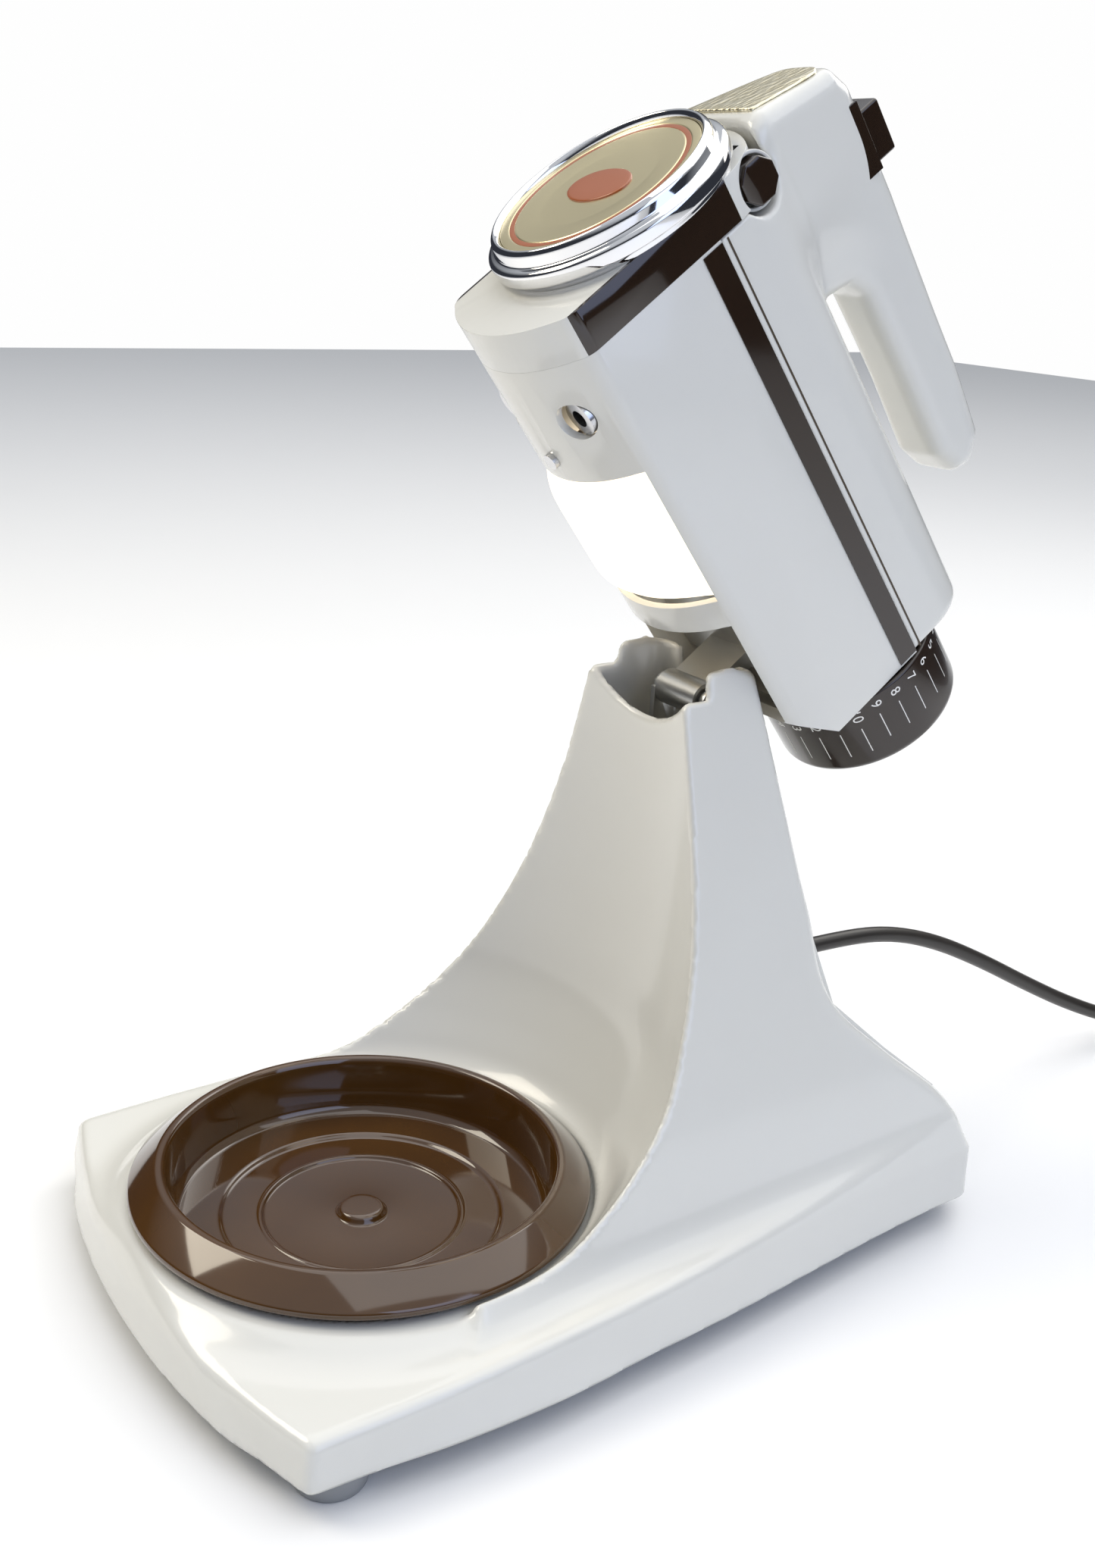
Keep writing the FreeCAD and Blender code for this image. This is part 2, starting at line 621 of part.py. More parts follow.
def bushing_shape(side, low):
    """A bronze bushing in the gear casting around a spindle."""
    outer, gap = size("spindle_outer_radius"), size("running_gap")
    bushing = spindle_bore(side, outer + 2.5, low, low + 8)
    return bushing.cut(spindle_bore(side, outer + gap, low - 1, low + 9))


def spindle_shape(side):
    """A hollow beater spindle whose lower end takes a beater's shank."""
    low, high = size("socket_bottom"), size("spindle_top")
    tube = spindle_bore(side, size("spindle_outer_radius"), low, high)
    return tube.cut(spindle_bore(side, size("socket_radius"), low - 1, high + 1))


def hinge_arm_shape():
    """The head's hinge arm: an eye on the pin, a neck, and a plate in the floor of the head."""
    half, radius = size("ear_inside") - 1.2, 7
    eye = Part.makeCylinder(radius, 2 * half, Vector(-half, 0, 0), Vector(1, 0, 0))
    neck = slab_box(half, -3.5, 3.5, 0, 26)
    foot = slab_box(size("head_half_width") - size("head_wall") - 1, -8, 36, 26, 28.5)
    bore = Part.makeCylinder(size("pin_radius") + size("running_gap"), 2 * half + 2,
                             Vector(-half - 1, 0, 0), Vector(1, 0, 0))
    return eye.fuse([neck, foot]).cut(bore).removeSplitter()


def bracket_shape():
    """The hinge bracket: a base plate across the two posts and two ears that hold the pin."""
    low, y, z = size("bracket_base_height"), size("pivot_setback"), size("pivot_height")
    inside, thick = size("ear_inside"), size("ear_thickness")
    plate = Part.makeBox(60, 17, thick, Vector(-30, y - 13, low))
    ears = []
    for x in (-inside - thick, inside):
        ear = Part.makeBox(thick, 11, z - low, Vector(x, y - 6, low))
        tip = Part.makeCylinder(5, thick, Vector(x, y, z), Vector(1, 0, 0))
        ears.append(ear.fuse(tip))
    bores = [Part.makeCylinder(size("pin_radius"), 60, Vector(-30, y, z), Vector(1, 0, 0))]
    bores += [Part.makeCylinder(2, 20, Vector(side * 24, y - 5, low - 5)) for side in (-1, 1)]
    return plate.fuse(ears).cut(bores).removeSplitter()


def screw_shape(x, y, z, radius, length, up=1):
    """A pan-head screw whose head sits at (x, y, z) and whose shank runs away from it."""
    way = Vector(0, 0, -up)
    head = Part.makeCylinder(radius * 1.9, 1.8, Vector(x, y, z), -way)
    return head.fuse(Part.makeCylinder(radius, length, Vector(x, y, z), way))


def foot_places():
    """The four feet: distances across and behind the front chord."""
    inset = size("foot_inset")
    front = (size("base_half_width") - inset, inset)
    rear = (size("base_rear_half_width") - inset, size("base_length") - inset)
    return {"front_right": front, "front_left": (-front[0], front[1]),
            "rear_right": rear, "rear_left": (-rear[0], rear[1])}


def plate_shape():
    """The flat plate that closes the base from below."""
    low, thick = size("base_underside") + 0.3, size("plate_thickness")
    plate = Part.Face(plan_wire(size("shell_wall") + 0.3, low)).extrude(Vector(0, 0, thick))
    holes = [Part.makeCylinder(size("foot_hole_radius"), 20, Vector(x, y, 0))
             for x, y in foot_places().values()]
    return plate.cut(holes)


# ---------------------------------------------------------------- cord
def rounded_route(points):
    """Straight runs joined by tangent arcs, each as large as its two runs allow."""
    edges, start, radii = [], points[0], []
    for before, corner, after in zip(points, points[1:], points[2:]):
        back, ahead = (before - corner), (after - corner)
        turn = back.getAngle(ahead)
        half = (3.141592653589793 - turn) / 2
        reach = 0.45 * min(back.Length, ahead.Length)
        radii.append(reach / math.tan(half))
        first = corner + back * (reach / back.Length)
        last = corner + ahead * (reach / ahead.Length)
        inward = (back * (1 / back.Length) + ahead * (1 / ahead.Length))
        inward.normalize()
        sag = radii[-1] * (1 / math.cos(half) - 1)
        edges.append(Part.LineSegment(start, first).toShape())
        edges.append(Part.Arc(first, corner + inward * sag, last).toShape())
        start = last
    edges.append(Part.LineSegment(start, points[-1]).toShape())
    return Part.Wire(edges), radii


CORD_ROUTE = ((0, 284, 90), (0, 308, 90), (0.5, 336, 87), (1, 366, 77), (2, 398, 61), (3, 430, 43),
              (5, 462, 26), (8, 494, 12), (13, 524, 4.5), (20, 552, 3.6), (24, 580, 3.6))


def cord_shape():
    """The free stretch of the lead, from its strain relief down to the surface and the coil."""
    points = [Vector(*point) for point in CORD_ROUTE]
    route, radii = rounded_route(points)
    print("cord radii", [round(radius) for radius in radii])
    radius = size("cord_width") / 2
    circle = Part.Wire(Part.makeCircle(radius, points[0], points[1] - points[0]))
    tube = route.makePipeShell([circle], True, False)
    drift = tube.Volume / (3.141592653589793 * radius * radius * route.Length)
    print("cord length", round(route.Length, 1), "volume over section times length", round(drift, 4))
    return tube


def bulb_shape():
    """The bowl lamp: a glass tube with a round end."""
    start, end, above, radius = 60, 92, 20, 8
    tip = Part.makeSphere(radius, Vector(0, -start - radius, above))
    return along(radius, start + radius, end, above=above).fuse(tip).removeSplitter()


def shaft_shape():
    """The motor's shaft with the worm's ribbed body near its front end."""
    worm, centre = size("worm_radius"), size("spindle_ahead")
    start, end, pitch = centre - 9, centre + 9, 3.6
    body = along(size("shaft_radius"), -8, size("head_ahead") - 4).fuse(along(worm, start, end))
    grooves = []
    for index in range(4):
        place = start + pitch * (index + 1)
        ring = along(worm + 1, place - 0.6, place + 0.6).cut(along(worm - 1.4, place - 2, place + 2))
        grooves.append(ring)
    return body.cut(grooves)


def knob_shape():
    """The chrome nose knob: a barrel with two wings, on a pin that crosses to its bracket."""
    centre = Vector(4, -size("knob_ahead"), size("knob_above"))
    barrel = Part.makeCylinder(6.5, 23, centre, Vector(1, 0, 0))
    wings = Part.makeBox(14, 7, 18, centre + Vector(3, -3.5, -9))
    pin = Part.makeCylinder(2.5, 9, centre - Vector(8, 0, 0), Vector(1, 0, 0))
    return barrel.fuse([wings, pin]).removeSplitter()


def knob_cap_shape():
    """The knob's eight-sided cap."""
    centre = Vector(27, -size("knob_ahead"), size("knob_above"))
    radius = size("knob_across") / 2 / math.cos(math.pi / 8)
    corners = [centre + Vector(0, radius * math.cos(math.pi / 8 + index * math.pi / 4),
                               radius * math.sin(math.pi / 8 + index * math.pi / 4))
               for index in range(9)]
    return Part.Face(Part.makePolygon(corners)).extrude(Vector(7, 0, 0))


def ring_across(x, length, outer, inner, ahead, above):
    """A ring that lies across the head."""
    centre = Vector(x, -ahead, above)
    return Part.makeCylinder(outer, length, centre, Vector(1, 0, 0)).cut(
        Part.makeCylinder(inner, length, centre, Vector(1, 0, 0)))


def knob_bracket_shape():
    """A small upright plate inside the nose that carries the knob's pin."""
    plate = slab_box(1.2, size("knob_ahead") - 4, size("knob_ahead") + 5, 90, 108)
    return plate.cut(Part.makeCylinder(2.5 + size("running_gap"), 10, Vector(
        -5, -size("knob_ahead"), size("knob_above")), Vector(1, 0, 0)))


def ejector_rod_shape():
    """The push rod under the button, its yoke over the spindles and two pins that enter them."""
    centre, top = size("spindle_ahead"), size("spindle_top")
    yoke_low = top + size("button_travel") + 0.5
    stem = Part.makeCylinder(2.4, size("handle_top") - 12.5 - yoke_low, Vector(0, -centre, yoke_low))
    yoke = slab_box(size("spindle_spread") + 3, centre - 2.5, centre + 2.5, yoke_low, yoke_low + 3)
    pins = [spindle_bore(side, size("socket_radius") - 0.35, top + 0.5, yoke_low) for side in (-1, 1)]
    return stem.fuse([yoke] + pins).removeSplitter()


def button_shape():
    """The ejector's button, with a blind bore below for its spring."""
    half, centre, reach = size("button_half_width"), size("spindle_ahead"), size("button_length") / 2
    low, high = size("handle_top") - 12.5, size("handle_top") + size("button_rise")
    block = slab_box(half, centre - reach, centre + reach, low, high)
    bore = Part.makeCylinder(5.6, 5, Vector(0, -centre, low)).cut(
        Part.makeCylinder(2.4, 5, Vector(0, -centre, low)))
    return block.cut(bore)


def spring_shape():
    """The ejector's spring as a plain tube of its pressed length around the rod."""
    low = size("handle_top") - 28
    tube = Part.makeCylinder(5, 14, Vector(0, -size("spindle_ahead"), low))
    return tube.cut(Part.makeCylinder(3.4, 14, Vector(0, -size("spindle_ahead"), low)))


def brush_shape(side, start, reach, radius):
    """A cylinder across the head beside the commutator."""
    x = start if side > 0 else -start - reach
    return Part.makeCylinder(radius, reach, Vector(x, -23, size("axis_above")), Vector(1, 0, 0))


def end_bracket_shape():
    """The motor's rear bracket, bored for the bearing and the four long bolts."""
    plate = slab_box(31, -4, 0, 46, 87)
    return plate.cut([along(8, -6, 2)] + [along(1.8, -6, 2, x, above) for x, above in bolt_places()])


def bolt_places():
    """Where the motor's four long bolts cross the head."""
    return [(x, size("axis_above") + up) for x in (-28, 28) for up in (-17, 17)]


def relief_shape():
    """The cord's strain relief: a plug in the wall, a collar and a tapering sleeve."""
    radius, height, rear = size("relief_radius"), size("relief_height"), CORD_ROUTE[0][1]
    back = Vector(0, 1, 0)
    sleeve = Part.makeCone(radius, size("cord_width") / 2 + 0.7, 15.5, Vector(0, rear - 15.5, height), back)
    collar = Part.makeCylinder(radius + 2, 2.5, Vector(0, rear - 18, height), back)
    return sleeve.fuse([collar, Part.makeCylinder(radius, 25, Vector(0, rear - 43, height), back)])


COIL_CENTRE = (66.9, 587)
COIL_MIDDLE_RADIUS = 38.5


def coil_ring_shape():
    """The outer shape of the put-away turns of the lead: two side by side, three high."""
    width = size("cord_width")
    x, y = COIL_CENTRE
    ring = Part.makeCylinder(COIL_MIDDLE_RADIUS + width, 3 * width, Vector(x, y, 0.1))
    return ring.cut(Part.makeCylinder(COIL_MIDDLE_RADIUS - width, 3 * width, Vector(x, y, 0.1)))


def plug_shape():
    """A two-blade mains plug that lies inside the coil."""
    x, y = COIL_CENTRE
    body = Part.makeBox(20, 26, 15, Vector(x - 10, y - 13, 0.1))
    nose = Part.makeBox(14, 8, 11, Vector(x - 7, y - 21, 2.1))
    reach = COIL_MIDDLE_RADIUS - size("cord_width") - 20
    tail = Part.makeCylinder(size("cord_width") / 2, reach, Vector(x, y - 20 - reach, 7.1), Vector(0, 1, 0))
    blades = [Part.makeBox(1.5, 15, 6.3, Vector(x + way - 0.75, y + 13, 4.5)) for way in (-6.35, 6.35)]
    return body.fuse([nose, tail] + blades).removeSplitter()


# ---------------------------------------------------------------- the stand's pieces
keep(shaped("shell", stand_shape()), "stand_shell", place_on_stand)
keep(shaped("closing_plate", plate_shape()), "base_plate", place_on_stand)
feet = []
for corner, (across, behind) in foot_places().items():
    sign = "" if across > 0 else "0 - "
    if corner.startswith("front"):
        across_text, behind_text = "( base_half_width - foot_inset )", "foot_inset"
    else:
        across_text = "( base_rear_half_width - foot_inset )"
        behind_text = "base_length - foot_inset"
    spot = (sign + across_text, behind_text)
    pad = taper(corner + "_pad", *spot, "0", "foot_radius - 2", "foot_radius", "base_underside + 0.3")
    hole = rod(corner + "_hole", *spot, "0", "foot_hole_radius", "20")
    sink = rod(corner + "_sink", *spot, "-1", "foot_hole_radius * 2.3", "5")
    feet.append(cut(corner + "_foot", pad, hole, sink))
keep(group("feet", *feet), "rubber_feet", place_on_stand)
screws = [screw_shape(x, y, 4, size("foot_hole_radius"), 13, up=-1)
          for x, y in foot_places().values()]
keep(shaped("screws_of_feet", Part.makeCompound(screws)), "foot_screws", place_on_stand)
keep(shaped("column_back", rear_cover_shape()), "column_rear_cover", place_on_stand)
keep(shaped("relief", relief_shape()), "strain_relief", place_on_stand)
keep(shaped("bracket", bracket_shape()), "hinge_bracket", place_on_stand)
fixing = [screw_shape(side * 24, size("pivot_setback") - 5, size("bracket_base_height") +
                      size("ear_thickness"), 1.6, 12) for side in (-1, 1)]
keep(shaped("screws_of_bracket", Part.makeCompound(fixing)), "bracket_screws", place_on_stand)
shank = rod("pin_shank", "0 - ear_inside - ear_thickness - 1.5", "pivot_setback", "pivot_height",
            "pin_radius", "2 * ( ear_inside + ear_thickness + 1.5 )", "x")
head = rod("pin_head", "ear_inside + ear_thickness", "pivot_setback", "pivot_height",
           "pin_radius + 1.5", "1.5", "x")
keep(join("pin", shank, head), "hinge_pin", place_on_stand)
keep(rod("table_pin", "0", "0", "base_underside + 0.3 + plate_thickness", "spindle_radius",
         "table_floor_height + 1.2 - base_underside - 0.3 - plate_thickness"),
     "turntable_spindle", place_on_table)
washer = cut("washer_ring", rod("washer_disc", "0", "0", "well_floor_height", "hub_radius - 2", "1.3"),
             rod("washer_bore", "0", "0", "well_floor_height - 1", "spindle_radius + 0.2", "4"))
keep(washer, "turntable_washer", place_on_table)
BORE = "spindle_radius + running_gap"
dish = revolved("dish", [
    (BORE, "well_floor_height + 1.6"), ("hub_radius", "well_floor_height + 1.6"),
    ("hub_radius", "table_floor_height - table_floor_thickness"),
    ("table_floor_radius + 3", "table_floor_height - table_floor_thickness"),
    ("table_ridge_radius + 2", "table_floor_height + 4"),
    ("table_ridge_radius + 2", "table_skirt_height"), ("table_radius", "table_skirt_height"),
    ("table_radius", "table_skirt_height + 2"), ("table_ridge_radius + 0.8", "table_ridge_height"),
    ("table_ridge_radius - 1", "table_ridge_height"), ("table_ridge_radius - 2", "table_ridge_height - 2"),
    ("table_floor_radius", "table_floor_height + 3"), ("table_floor_radius - 3", "table_floor_height"),
    ("9", "table_floor_height"), ("7", "table_floor_height + 3"), ("0", "table_floor_height + 3"),
    ("0", "table_floor_height + 1.5"), (BORE, "table_floor_height + 1.5")])
keep(dish, "turntable", place_on_table)

# ---------------------------------------------------------------- the head's pieces
keep(shaped("lower_half", lower_housing_shape()), "lower_housing", place_on_head)
keep(shaped("upper_half", upper_housing_shape()), "upper_housing", place_on_head)
keep(shaped("grip", handle_shape()), "handle", place_on_head)
keep(shaped("grip_plate", handle_plate_shape()), "handle_front_plate", place_on_head)
keep(shaped("nose", nose_shape()), "nose_cover", place_on_head)
for side, hand in ((1, "right"), (-1, "left")):
    keep(shaped(hand + "_trim", trim_shape(side)), f"nose_trim_{hand}", place_on_head)
    start = "head_half_width" if side > 0 else "0 - head_half_width - stripe_proud"
    keep(box(hand + "_stripe", start, "1 - head_ahead", "seam_above - stripe_width", "stripe_proud",
             "head_ahead + head_behind - 2", "stripe_width"), f"side_stripe_{hand}", place_on_head)
    keep(shaped(hand + "_spindle", spindle_shape(side)), f"beater_spindle_{hand}", place_on_head)
    keep(shaped(hand + "_wheel", toothed_wheel(side)), f"worm_wheel_{hand}", place_on_head)

SIDES = (1, -1)
coils = Part.makeCompound([coil_shape(side) for side in SIDES])
keep(shaped("coils", coils), "field_coils", place_on_head)
holders = [brush_shape(side, 11, 14, 5).cut(brush_shape(side, 10, 16, 3)) for side in SIDES]
keep(shaped("holders", Part.makeCompound(holders)), "brush_holders", place_on_head)
brushes = [brush_shape(side, 10.3, 12, 3) for side in SIDES]
keep(shaped("brushes", Part.makeCompound(brushes)), "carbon_brushes", place_on_head)
bushes = [bushing_shape(side, low) for side in SIDES for low in (24, size("spindle_top") - 11)]
keep(shaped("bushes", Part.makeCompound(bushes)), "spindle_bushings", place_on_head)

NOSE_FACE = "( head_ahead + nose_depth )"
ring = revolved("rim", [
    ("disc_radius", NOSE_FACE), ("cap_radius", NOSE_FACE), ("cap_radius", NOSE_FACE + " + 4"),
    ("cap_rim_radius + 0.5", NOSE_FACE + " + 6.5"), ("cap_rim_radius", NOSE_FACE + " + cap_depth - 2"),
    ("cap_rim_radius - 1.5", NOSE_FACE + " + cap_depth"), ("disc_radius + 1", NOSE_FACE + " + cap_depth"),
    ("disc_radius", NOSE_FACE + " + cap_depth - 1.5")])
keep(ring, "cap_ring", place_on_motor_axis)
disc = revolved("face", [
    ("0", NOSE_FACE + " + cap_depth - 5"), ("disc_radius", NOSE_FACE + " + cap_depth - 5"),
    ("disc_radius", NOSE_FACE + " + cap_depth - 2"),
    ("0", NOSE_FACE + " + cap_depth - 3")])
keep(disc, "cap_disc", place_on_motor_axis)
DIAL_FRONT = "( 0 - head_behind - dial_gap )"
DIAL_BACK = "( 0 - head_behind - dial_gap - dial_depth )"
dial = revolved("dial", [
    ("0", DIAL_BACK), ("dial_radius - 7", DIAL_BACK), ("dial_radius - 1.5", DIAL_BACK + " + 3"),
    ("dial_radius", DIAL_BACK + " + 8"), ("dial_radius", DIAL_FRONT), ("dial_radius - 2.6", DIAL_FRONT),
    ("dial_radius - 2.6", DIAL_BACK + " + 4.6"), ("9", DIAL_BACK + " + 4.1"), ("9", DIAL_FRONT + " - 7"),
    ("dial_shaft_radius", DIAL_FRONT + " - 7"), ("dial_shaft_radius", DIAL_BACK + " + 6.6"),
    ("0", DIAL_BACK + " + 6.6")])
keep(dial, "speed_dial", place_on_motor_axis)
stem = rod("dial_stem", "0", "12", "axis_above", "dial_shaft_radius",
           "head_behind + dial_gap + dial_depth - 6.6 - 12", "y")
cam = rod("cam_round", "0", "21", "axis_above", "15", "3", "y")
keep(join("stem_and_cam", stem, cam), "dial_shaft", place_on_head)
switch = cut("switch_body", box("switch_block", "-22", "25", "axis_above - 20", "44", "4", "30"),
             rod("switch_bore", "0", "20", "axis_above", "dial_shaft_radius + 0.3", "20", "y"))
keep(switch, "speed_switch", place_on_head)

keep(shaped("lens", lens_shape()), "light_lens", place_on_head)
keep(shaped("bulb", bulb_shape()), "lamp_bulb", place_on_head)
keep(rod("socket", "0", "-103", "20", "9", "11", "y"), "lamp_socket", place_on_head)
keep(box("mirror", "-24", "-100", "29", "48", "53", "1.2"), "lamp_reflector", place_on_head)
keep(shaped("arm", hinge_arm_shape()), "hinge_arm", place_on_head)
keep(shaped("casting", gearbox_shape()), "gear_frame", place_on_head)
keep(shaped("core", stator_shape()), "stator_core", place_on_head)
keep(shaped("rotor_shaft", shaft_shape()), "motor_shaft", place_on_head)
rotor = cut("rotor", rod("rotor_core", "0", "0 - stator_ahead - stator_length - 2", "axis_above",
                         "stator_bore - armature_gap", "stator_length + 4", "y"),
            rod("rotor_bore", "0", "-120", "axis_above", "shaft_radius", "150", "y"))
keep(rotor, "armature_core", place_on_head)
bars = cut("bars", rod("bar_ring", "0", "-30", "axis_above", "10", "14", "y"),
           rod("bar_bore", "0", "-40", "axis_above", "shaft_radius", "40", "y"))
keep(bars, "commutator", place_on_head)
keep(shaped("blades", fan_shape()), "cooling_fan", place_on_head)
keep(shaped("bracket_behind", end_bracket_shape()), "motor_end_bracket", place_on_head)
bearings = []
for first, last in ((104, 109), (-4, 0)):
    bearings.append(along(8, first, last).cut(
        along(size("shaft_radius") + size("running_gap"), first - 1, last + 1)))
keep(shaped("bearings", Part.makeCompound(bearings)), "motor_bearings", place_on_head)
bolts = [along(1.8, -4, 104, x, above) for x, above in bolt_places()]
keep(shaped("long_bolts", Part.makeCompound(bolts)), "motor_bolts", place_on_head)
screw_behind = -size("lens_start") - size("lens_length") - 9
keep(shaped("housing_screw_one", screw_shape(0, screw_behind, 2, 1.6, 16, up=-1)),
     "housing_screw", place_on_head)

keep(shaped("knob", knob_shape()), "nose_knob", place_on_head)
keep(shaped("knob_end", knob_cap_shape()), "nose_knob_cap", place_on_head)
keep(shaped("knob_ring", ring_across(26, 4.5, size("knob_collar_radius"), size("knob_collar_radius") - 1.3,
                                     size("knob_ahead"), size("knob_above"))),
     "nose_knob_collar", place_on_head)
keep(shaped("knob_plate", knob_bracket_shape()), "knob_bracket", place_on_head)
keep(shaped("button", button_shape()), "ejector_button", place_on_head)
keep(shaped("push_rod", ejector_rod_shape()), "ejector_rod", place_on_head)
keep(shaped("return_spring", spring_shape()), "ejector_spring", place_on_head)
keep(box("bezel", "handle_half_width", "0 - spindle_ahead - 16", "handle_top - 30", "1.2", "27", "27"),
     "ejector_label", place_on_head)

# ---------------------------------------------------------------- the lead
keep(shaped("lead", cord_shape()), "power_cord", place_on_stand)
keep(shaped("coil", coil_ring_shape()), "cord_coil", place_on_stand)
keep(shaped("plug", plug_shape()), "mains_plug", place_on_stand)

doc.recompute()
for item in doc.Objects:
    if "Invalid" in item.State or "Error" in item.State:
        raise RuntimeError(f"{item.Label} failed: {item.State}")
os.makedirs("parts", exist_ok=True)
for piece in PARTS:
    if piece.Shape.isNull() or not piece.Shape.isValid():
        raise RuntimeError(f"{piece.Label} has no valid shape")
    piece.Shape.exportStep(f"parts/{piece.Label}.step")
whole = FreeCAD.BoundBox()
for piece in PARTS:
    if piece.Label not in ("power_cord", "cord_coil", "mains_plug"):
        whole.add(piece.Shape.BoundBox)
print(len(PARTS), "nodes; box without the lead", whole)
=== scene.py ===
"""Looks of a stand mixer: its moulded stand, tilting motor head, bowl plate and mains lead.

The stand is worked out in distances behind the chord of its two front corners, in millimetres.  The head
is worked out level, as distances to the right, ahead of and above the hinge pin, and is then tilted back.
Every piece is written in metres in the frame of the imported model.
"""
import json
import logging
import math
from collections.abc import Callable, Sequence
from dataclasses import dataclass
from enum import Enum

import bmesh
import bpy
import numpy as np
from mathutils import Matrix, Vector

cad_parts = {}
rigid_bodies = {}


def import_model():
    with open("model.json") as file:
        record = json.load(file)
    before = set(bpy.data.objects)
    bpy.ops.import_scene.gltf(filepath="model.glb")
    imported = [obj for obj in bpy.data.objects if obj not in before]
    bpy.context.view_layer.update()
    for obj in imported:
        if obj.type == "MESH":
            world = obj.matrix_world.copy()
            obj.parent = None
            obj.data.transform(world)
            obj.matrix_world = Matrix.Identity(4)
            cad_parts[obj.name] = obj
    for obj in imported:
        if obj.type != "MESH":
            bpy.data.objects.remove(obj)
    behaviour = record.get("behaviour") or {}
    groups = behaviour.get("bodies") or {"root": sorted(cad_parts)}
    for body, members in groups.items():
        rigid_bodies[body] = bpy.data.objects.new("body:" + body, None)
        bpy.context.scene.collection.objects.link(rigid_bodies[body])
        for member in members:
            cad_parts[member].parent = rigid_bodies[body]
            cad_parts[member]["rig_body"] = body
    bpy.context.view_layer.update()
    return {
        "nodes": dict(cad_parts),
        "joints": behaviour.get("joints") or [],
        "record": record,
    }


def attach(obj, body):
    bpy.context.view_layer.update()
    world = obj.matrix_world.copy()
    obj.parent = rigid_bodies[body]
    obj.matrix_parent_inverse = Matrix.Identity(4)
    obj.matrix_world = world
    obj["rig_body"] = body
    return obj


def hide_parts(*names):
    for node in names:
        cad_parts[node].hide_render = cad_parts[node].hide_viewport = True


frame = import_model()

LOG = logging.getLogger("stand_mixer")
MM = 0.001
TINY = 1e-9
ON_AXIS = 1e-6
NEWTON_STEPS = 3
MERGE_REACH = 2e-6
FLAT_ANGLE = math.radians(0.6)
SHARP_ANGLE = math.radians(32)
COAT_ROUGHNESS = 0.06
LEAST_ROUGHNESS = 0.02
LAMP_COLOUR = (1.0, 0.84, 0.62, 1)
CLOUD_SCALE = 18.0
CLOUD_DETAIL = 3.0
FINE_DETAIL = 4.0
BUMP_STRENGTH = 0.6
Array = np.ndarray
Field = Callable[[Array, Array, Array], Array]


# ---------------------------------------------------------------- frame of the head and the stand
def joint_place(name: str) -> Array:
    """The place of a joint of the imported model, in metres."""
    return np.array(next(j for j in frame["joints"] if j["name"] == name)["pos_m"])


HINGE = joint_place("head_tilt")
TABLE = joint_place("turntable_spin")
TILT = math.radians(next(j for j in frame["joints"] if j["name"] == "head_tilt")["range_deg"][1])
TABLE_SETBACK = 73.8


def stand_to_frame(points: Array) -> Array:
    """Stand millimetres behind the front chord to metres in the frame."""
    out = points * MM
    out[:, 1] += TABLE[1] - TABLE_SETBACK * MM
    return out


def head_to_frame(points: Array) -> Array:
    """Level head millimetres (right, behind, above) to metres in the frame, tilted back.

    The head turns about the hinge pin: y = behind cos + above sin, z = above cos - behind sin.
    """
    cosine, sine = math.cos(TILT), math.sin(TILT)
    x, y, z = points.T * MM
    behind = y * cosine + z * sine
    above = z * cosine - y * sine
    return np.stack([x + HINGE[0], behind + HINGE[1], above + HINGE[2]], axis=1)


# ---------------------------------------------------------------- distance fields
def soft_max(a: Array, b: Array, round_by: float) -> Array:
    """The larger of two fields, with the corner between them rounded off by about round_by."""
    h = np.clip(0.5 + 0.5 * (a - b) / round_by, 0.0, 1.0)
    return b + (a - b) * h + round_by * h * (1 - h)


def soft_min(a: Array, b: Array, round_by: float) -> Array:
    """The smaller of two fields, with the corner between them filled by about round_by."""
    return -soft_max(-a, -b, round_by)


def ramp(value: Array, low: float, high: float) -> Array:
    """A smooth step from 0 at low to 1 at high."""
    share = np.clip((value - low) / (high - low), 0.0, 1.0)
    return share * share * (3 - 2 * share)


def brick(x: Array, y: Array, z: Array, low: Sequence[float], high: Sequence[float]) -> Array:
    """The field of a box between two corners."""
    parts = [np.maximum(lo - v, v - hi) for v, lo, hi in zip((x, y, z), low, high)]
    return np.maximum(np.maximum(parts[0], parts[1]), parts[2])


def outline(u: Array, v: Array, points: Sequence[tuple[float, float]]) -> Array:
    """The signed distance to a closed polygon in a plane: the nearest edge, negative inside."""
    best = np.full(np.broadcast(u, v).shape, 1e18)
    inside = np.zeros(best.shape, bool)
    for (ax, ay), (bx, by) in zip(points, list(points[1:]) + [points[0]]):
        ex, ey = bx - ax, by - ay
        wx, wy = u - ax, v - ay
        share = np.clip((wx * ex + wy * ey) / (ex * ex + ey * ey), 0, 1)
        best = np.minimum(best, (wx - ex * share) ** 2 + (wy - ey * share) ** 2)
        crosses = (ay > v) != (by > v)
        inside ^= crosses & (u < ex * (v - ay) / (ey if ey else 1e-9) + ax)
    return np.where(inside, -1.0, 1.0) * np.sqrt(best)


# ---------------------------------------------------------------- meshes
def new_object(name: str, points: Array, faces: Array | list, smooth: bool = True) -> bpy.types.Object:
    """Put points in metres and faces into a mesh object at the origin.

    Args:
        name: the piece's name.
        points: vertices, one row each.
        faces: rows of vertex numbers.
        smooth: whether the faces are shaded smooth.
    Returns:
        The linked object.
    """
    mesh = bpy.data.meshes.new(name)
    rows = faces.tolist() if isinstance(faces, np.ndarray) else faces
    mesh.from_pydata(np.asarray(points).tolist(), [], rows)
    mesh.validate()
    mesh.polygons.foreach_set("use_smooth", [smooth] * len(mesh.polygons))
    piece = bpy.data.objects.new(name, mesh)
    bpy.context.scene.collection.objects.link(piece)
    return piece


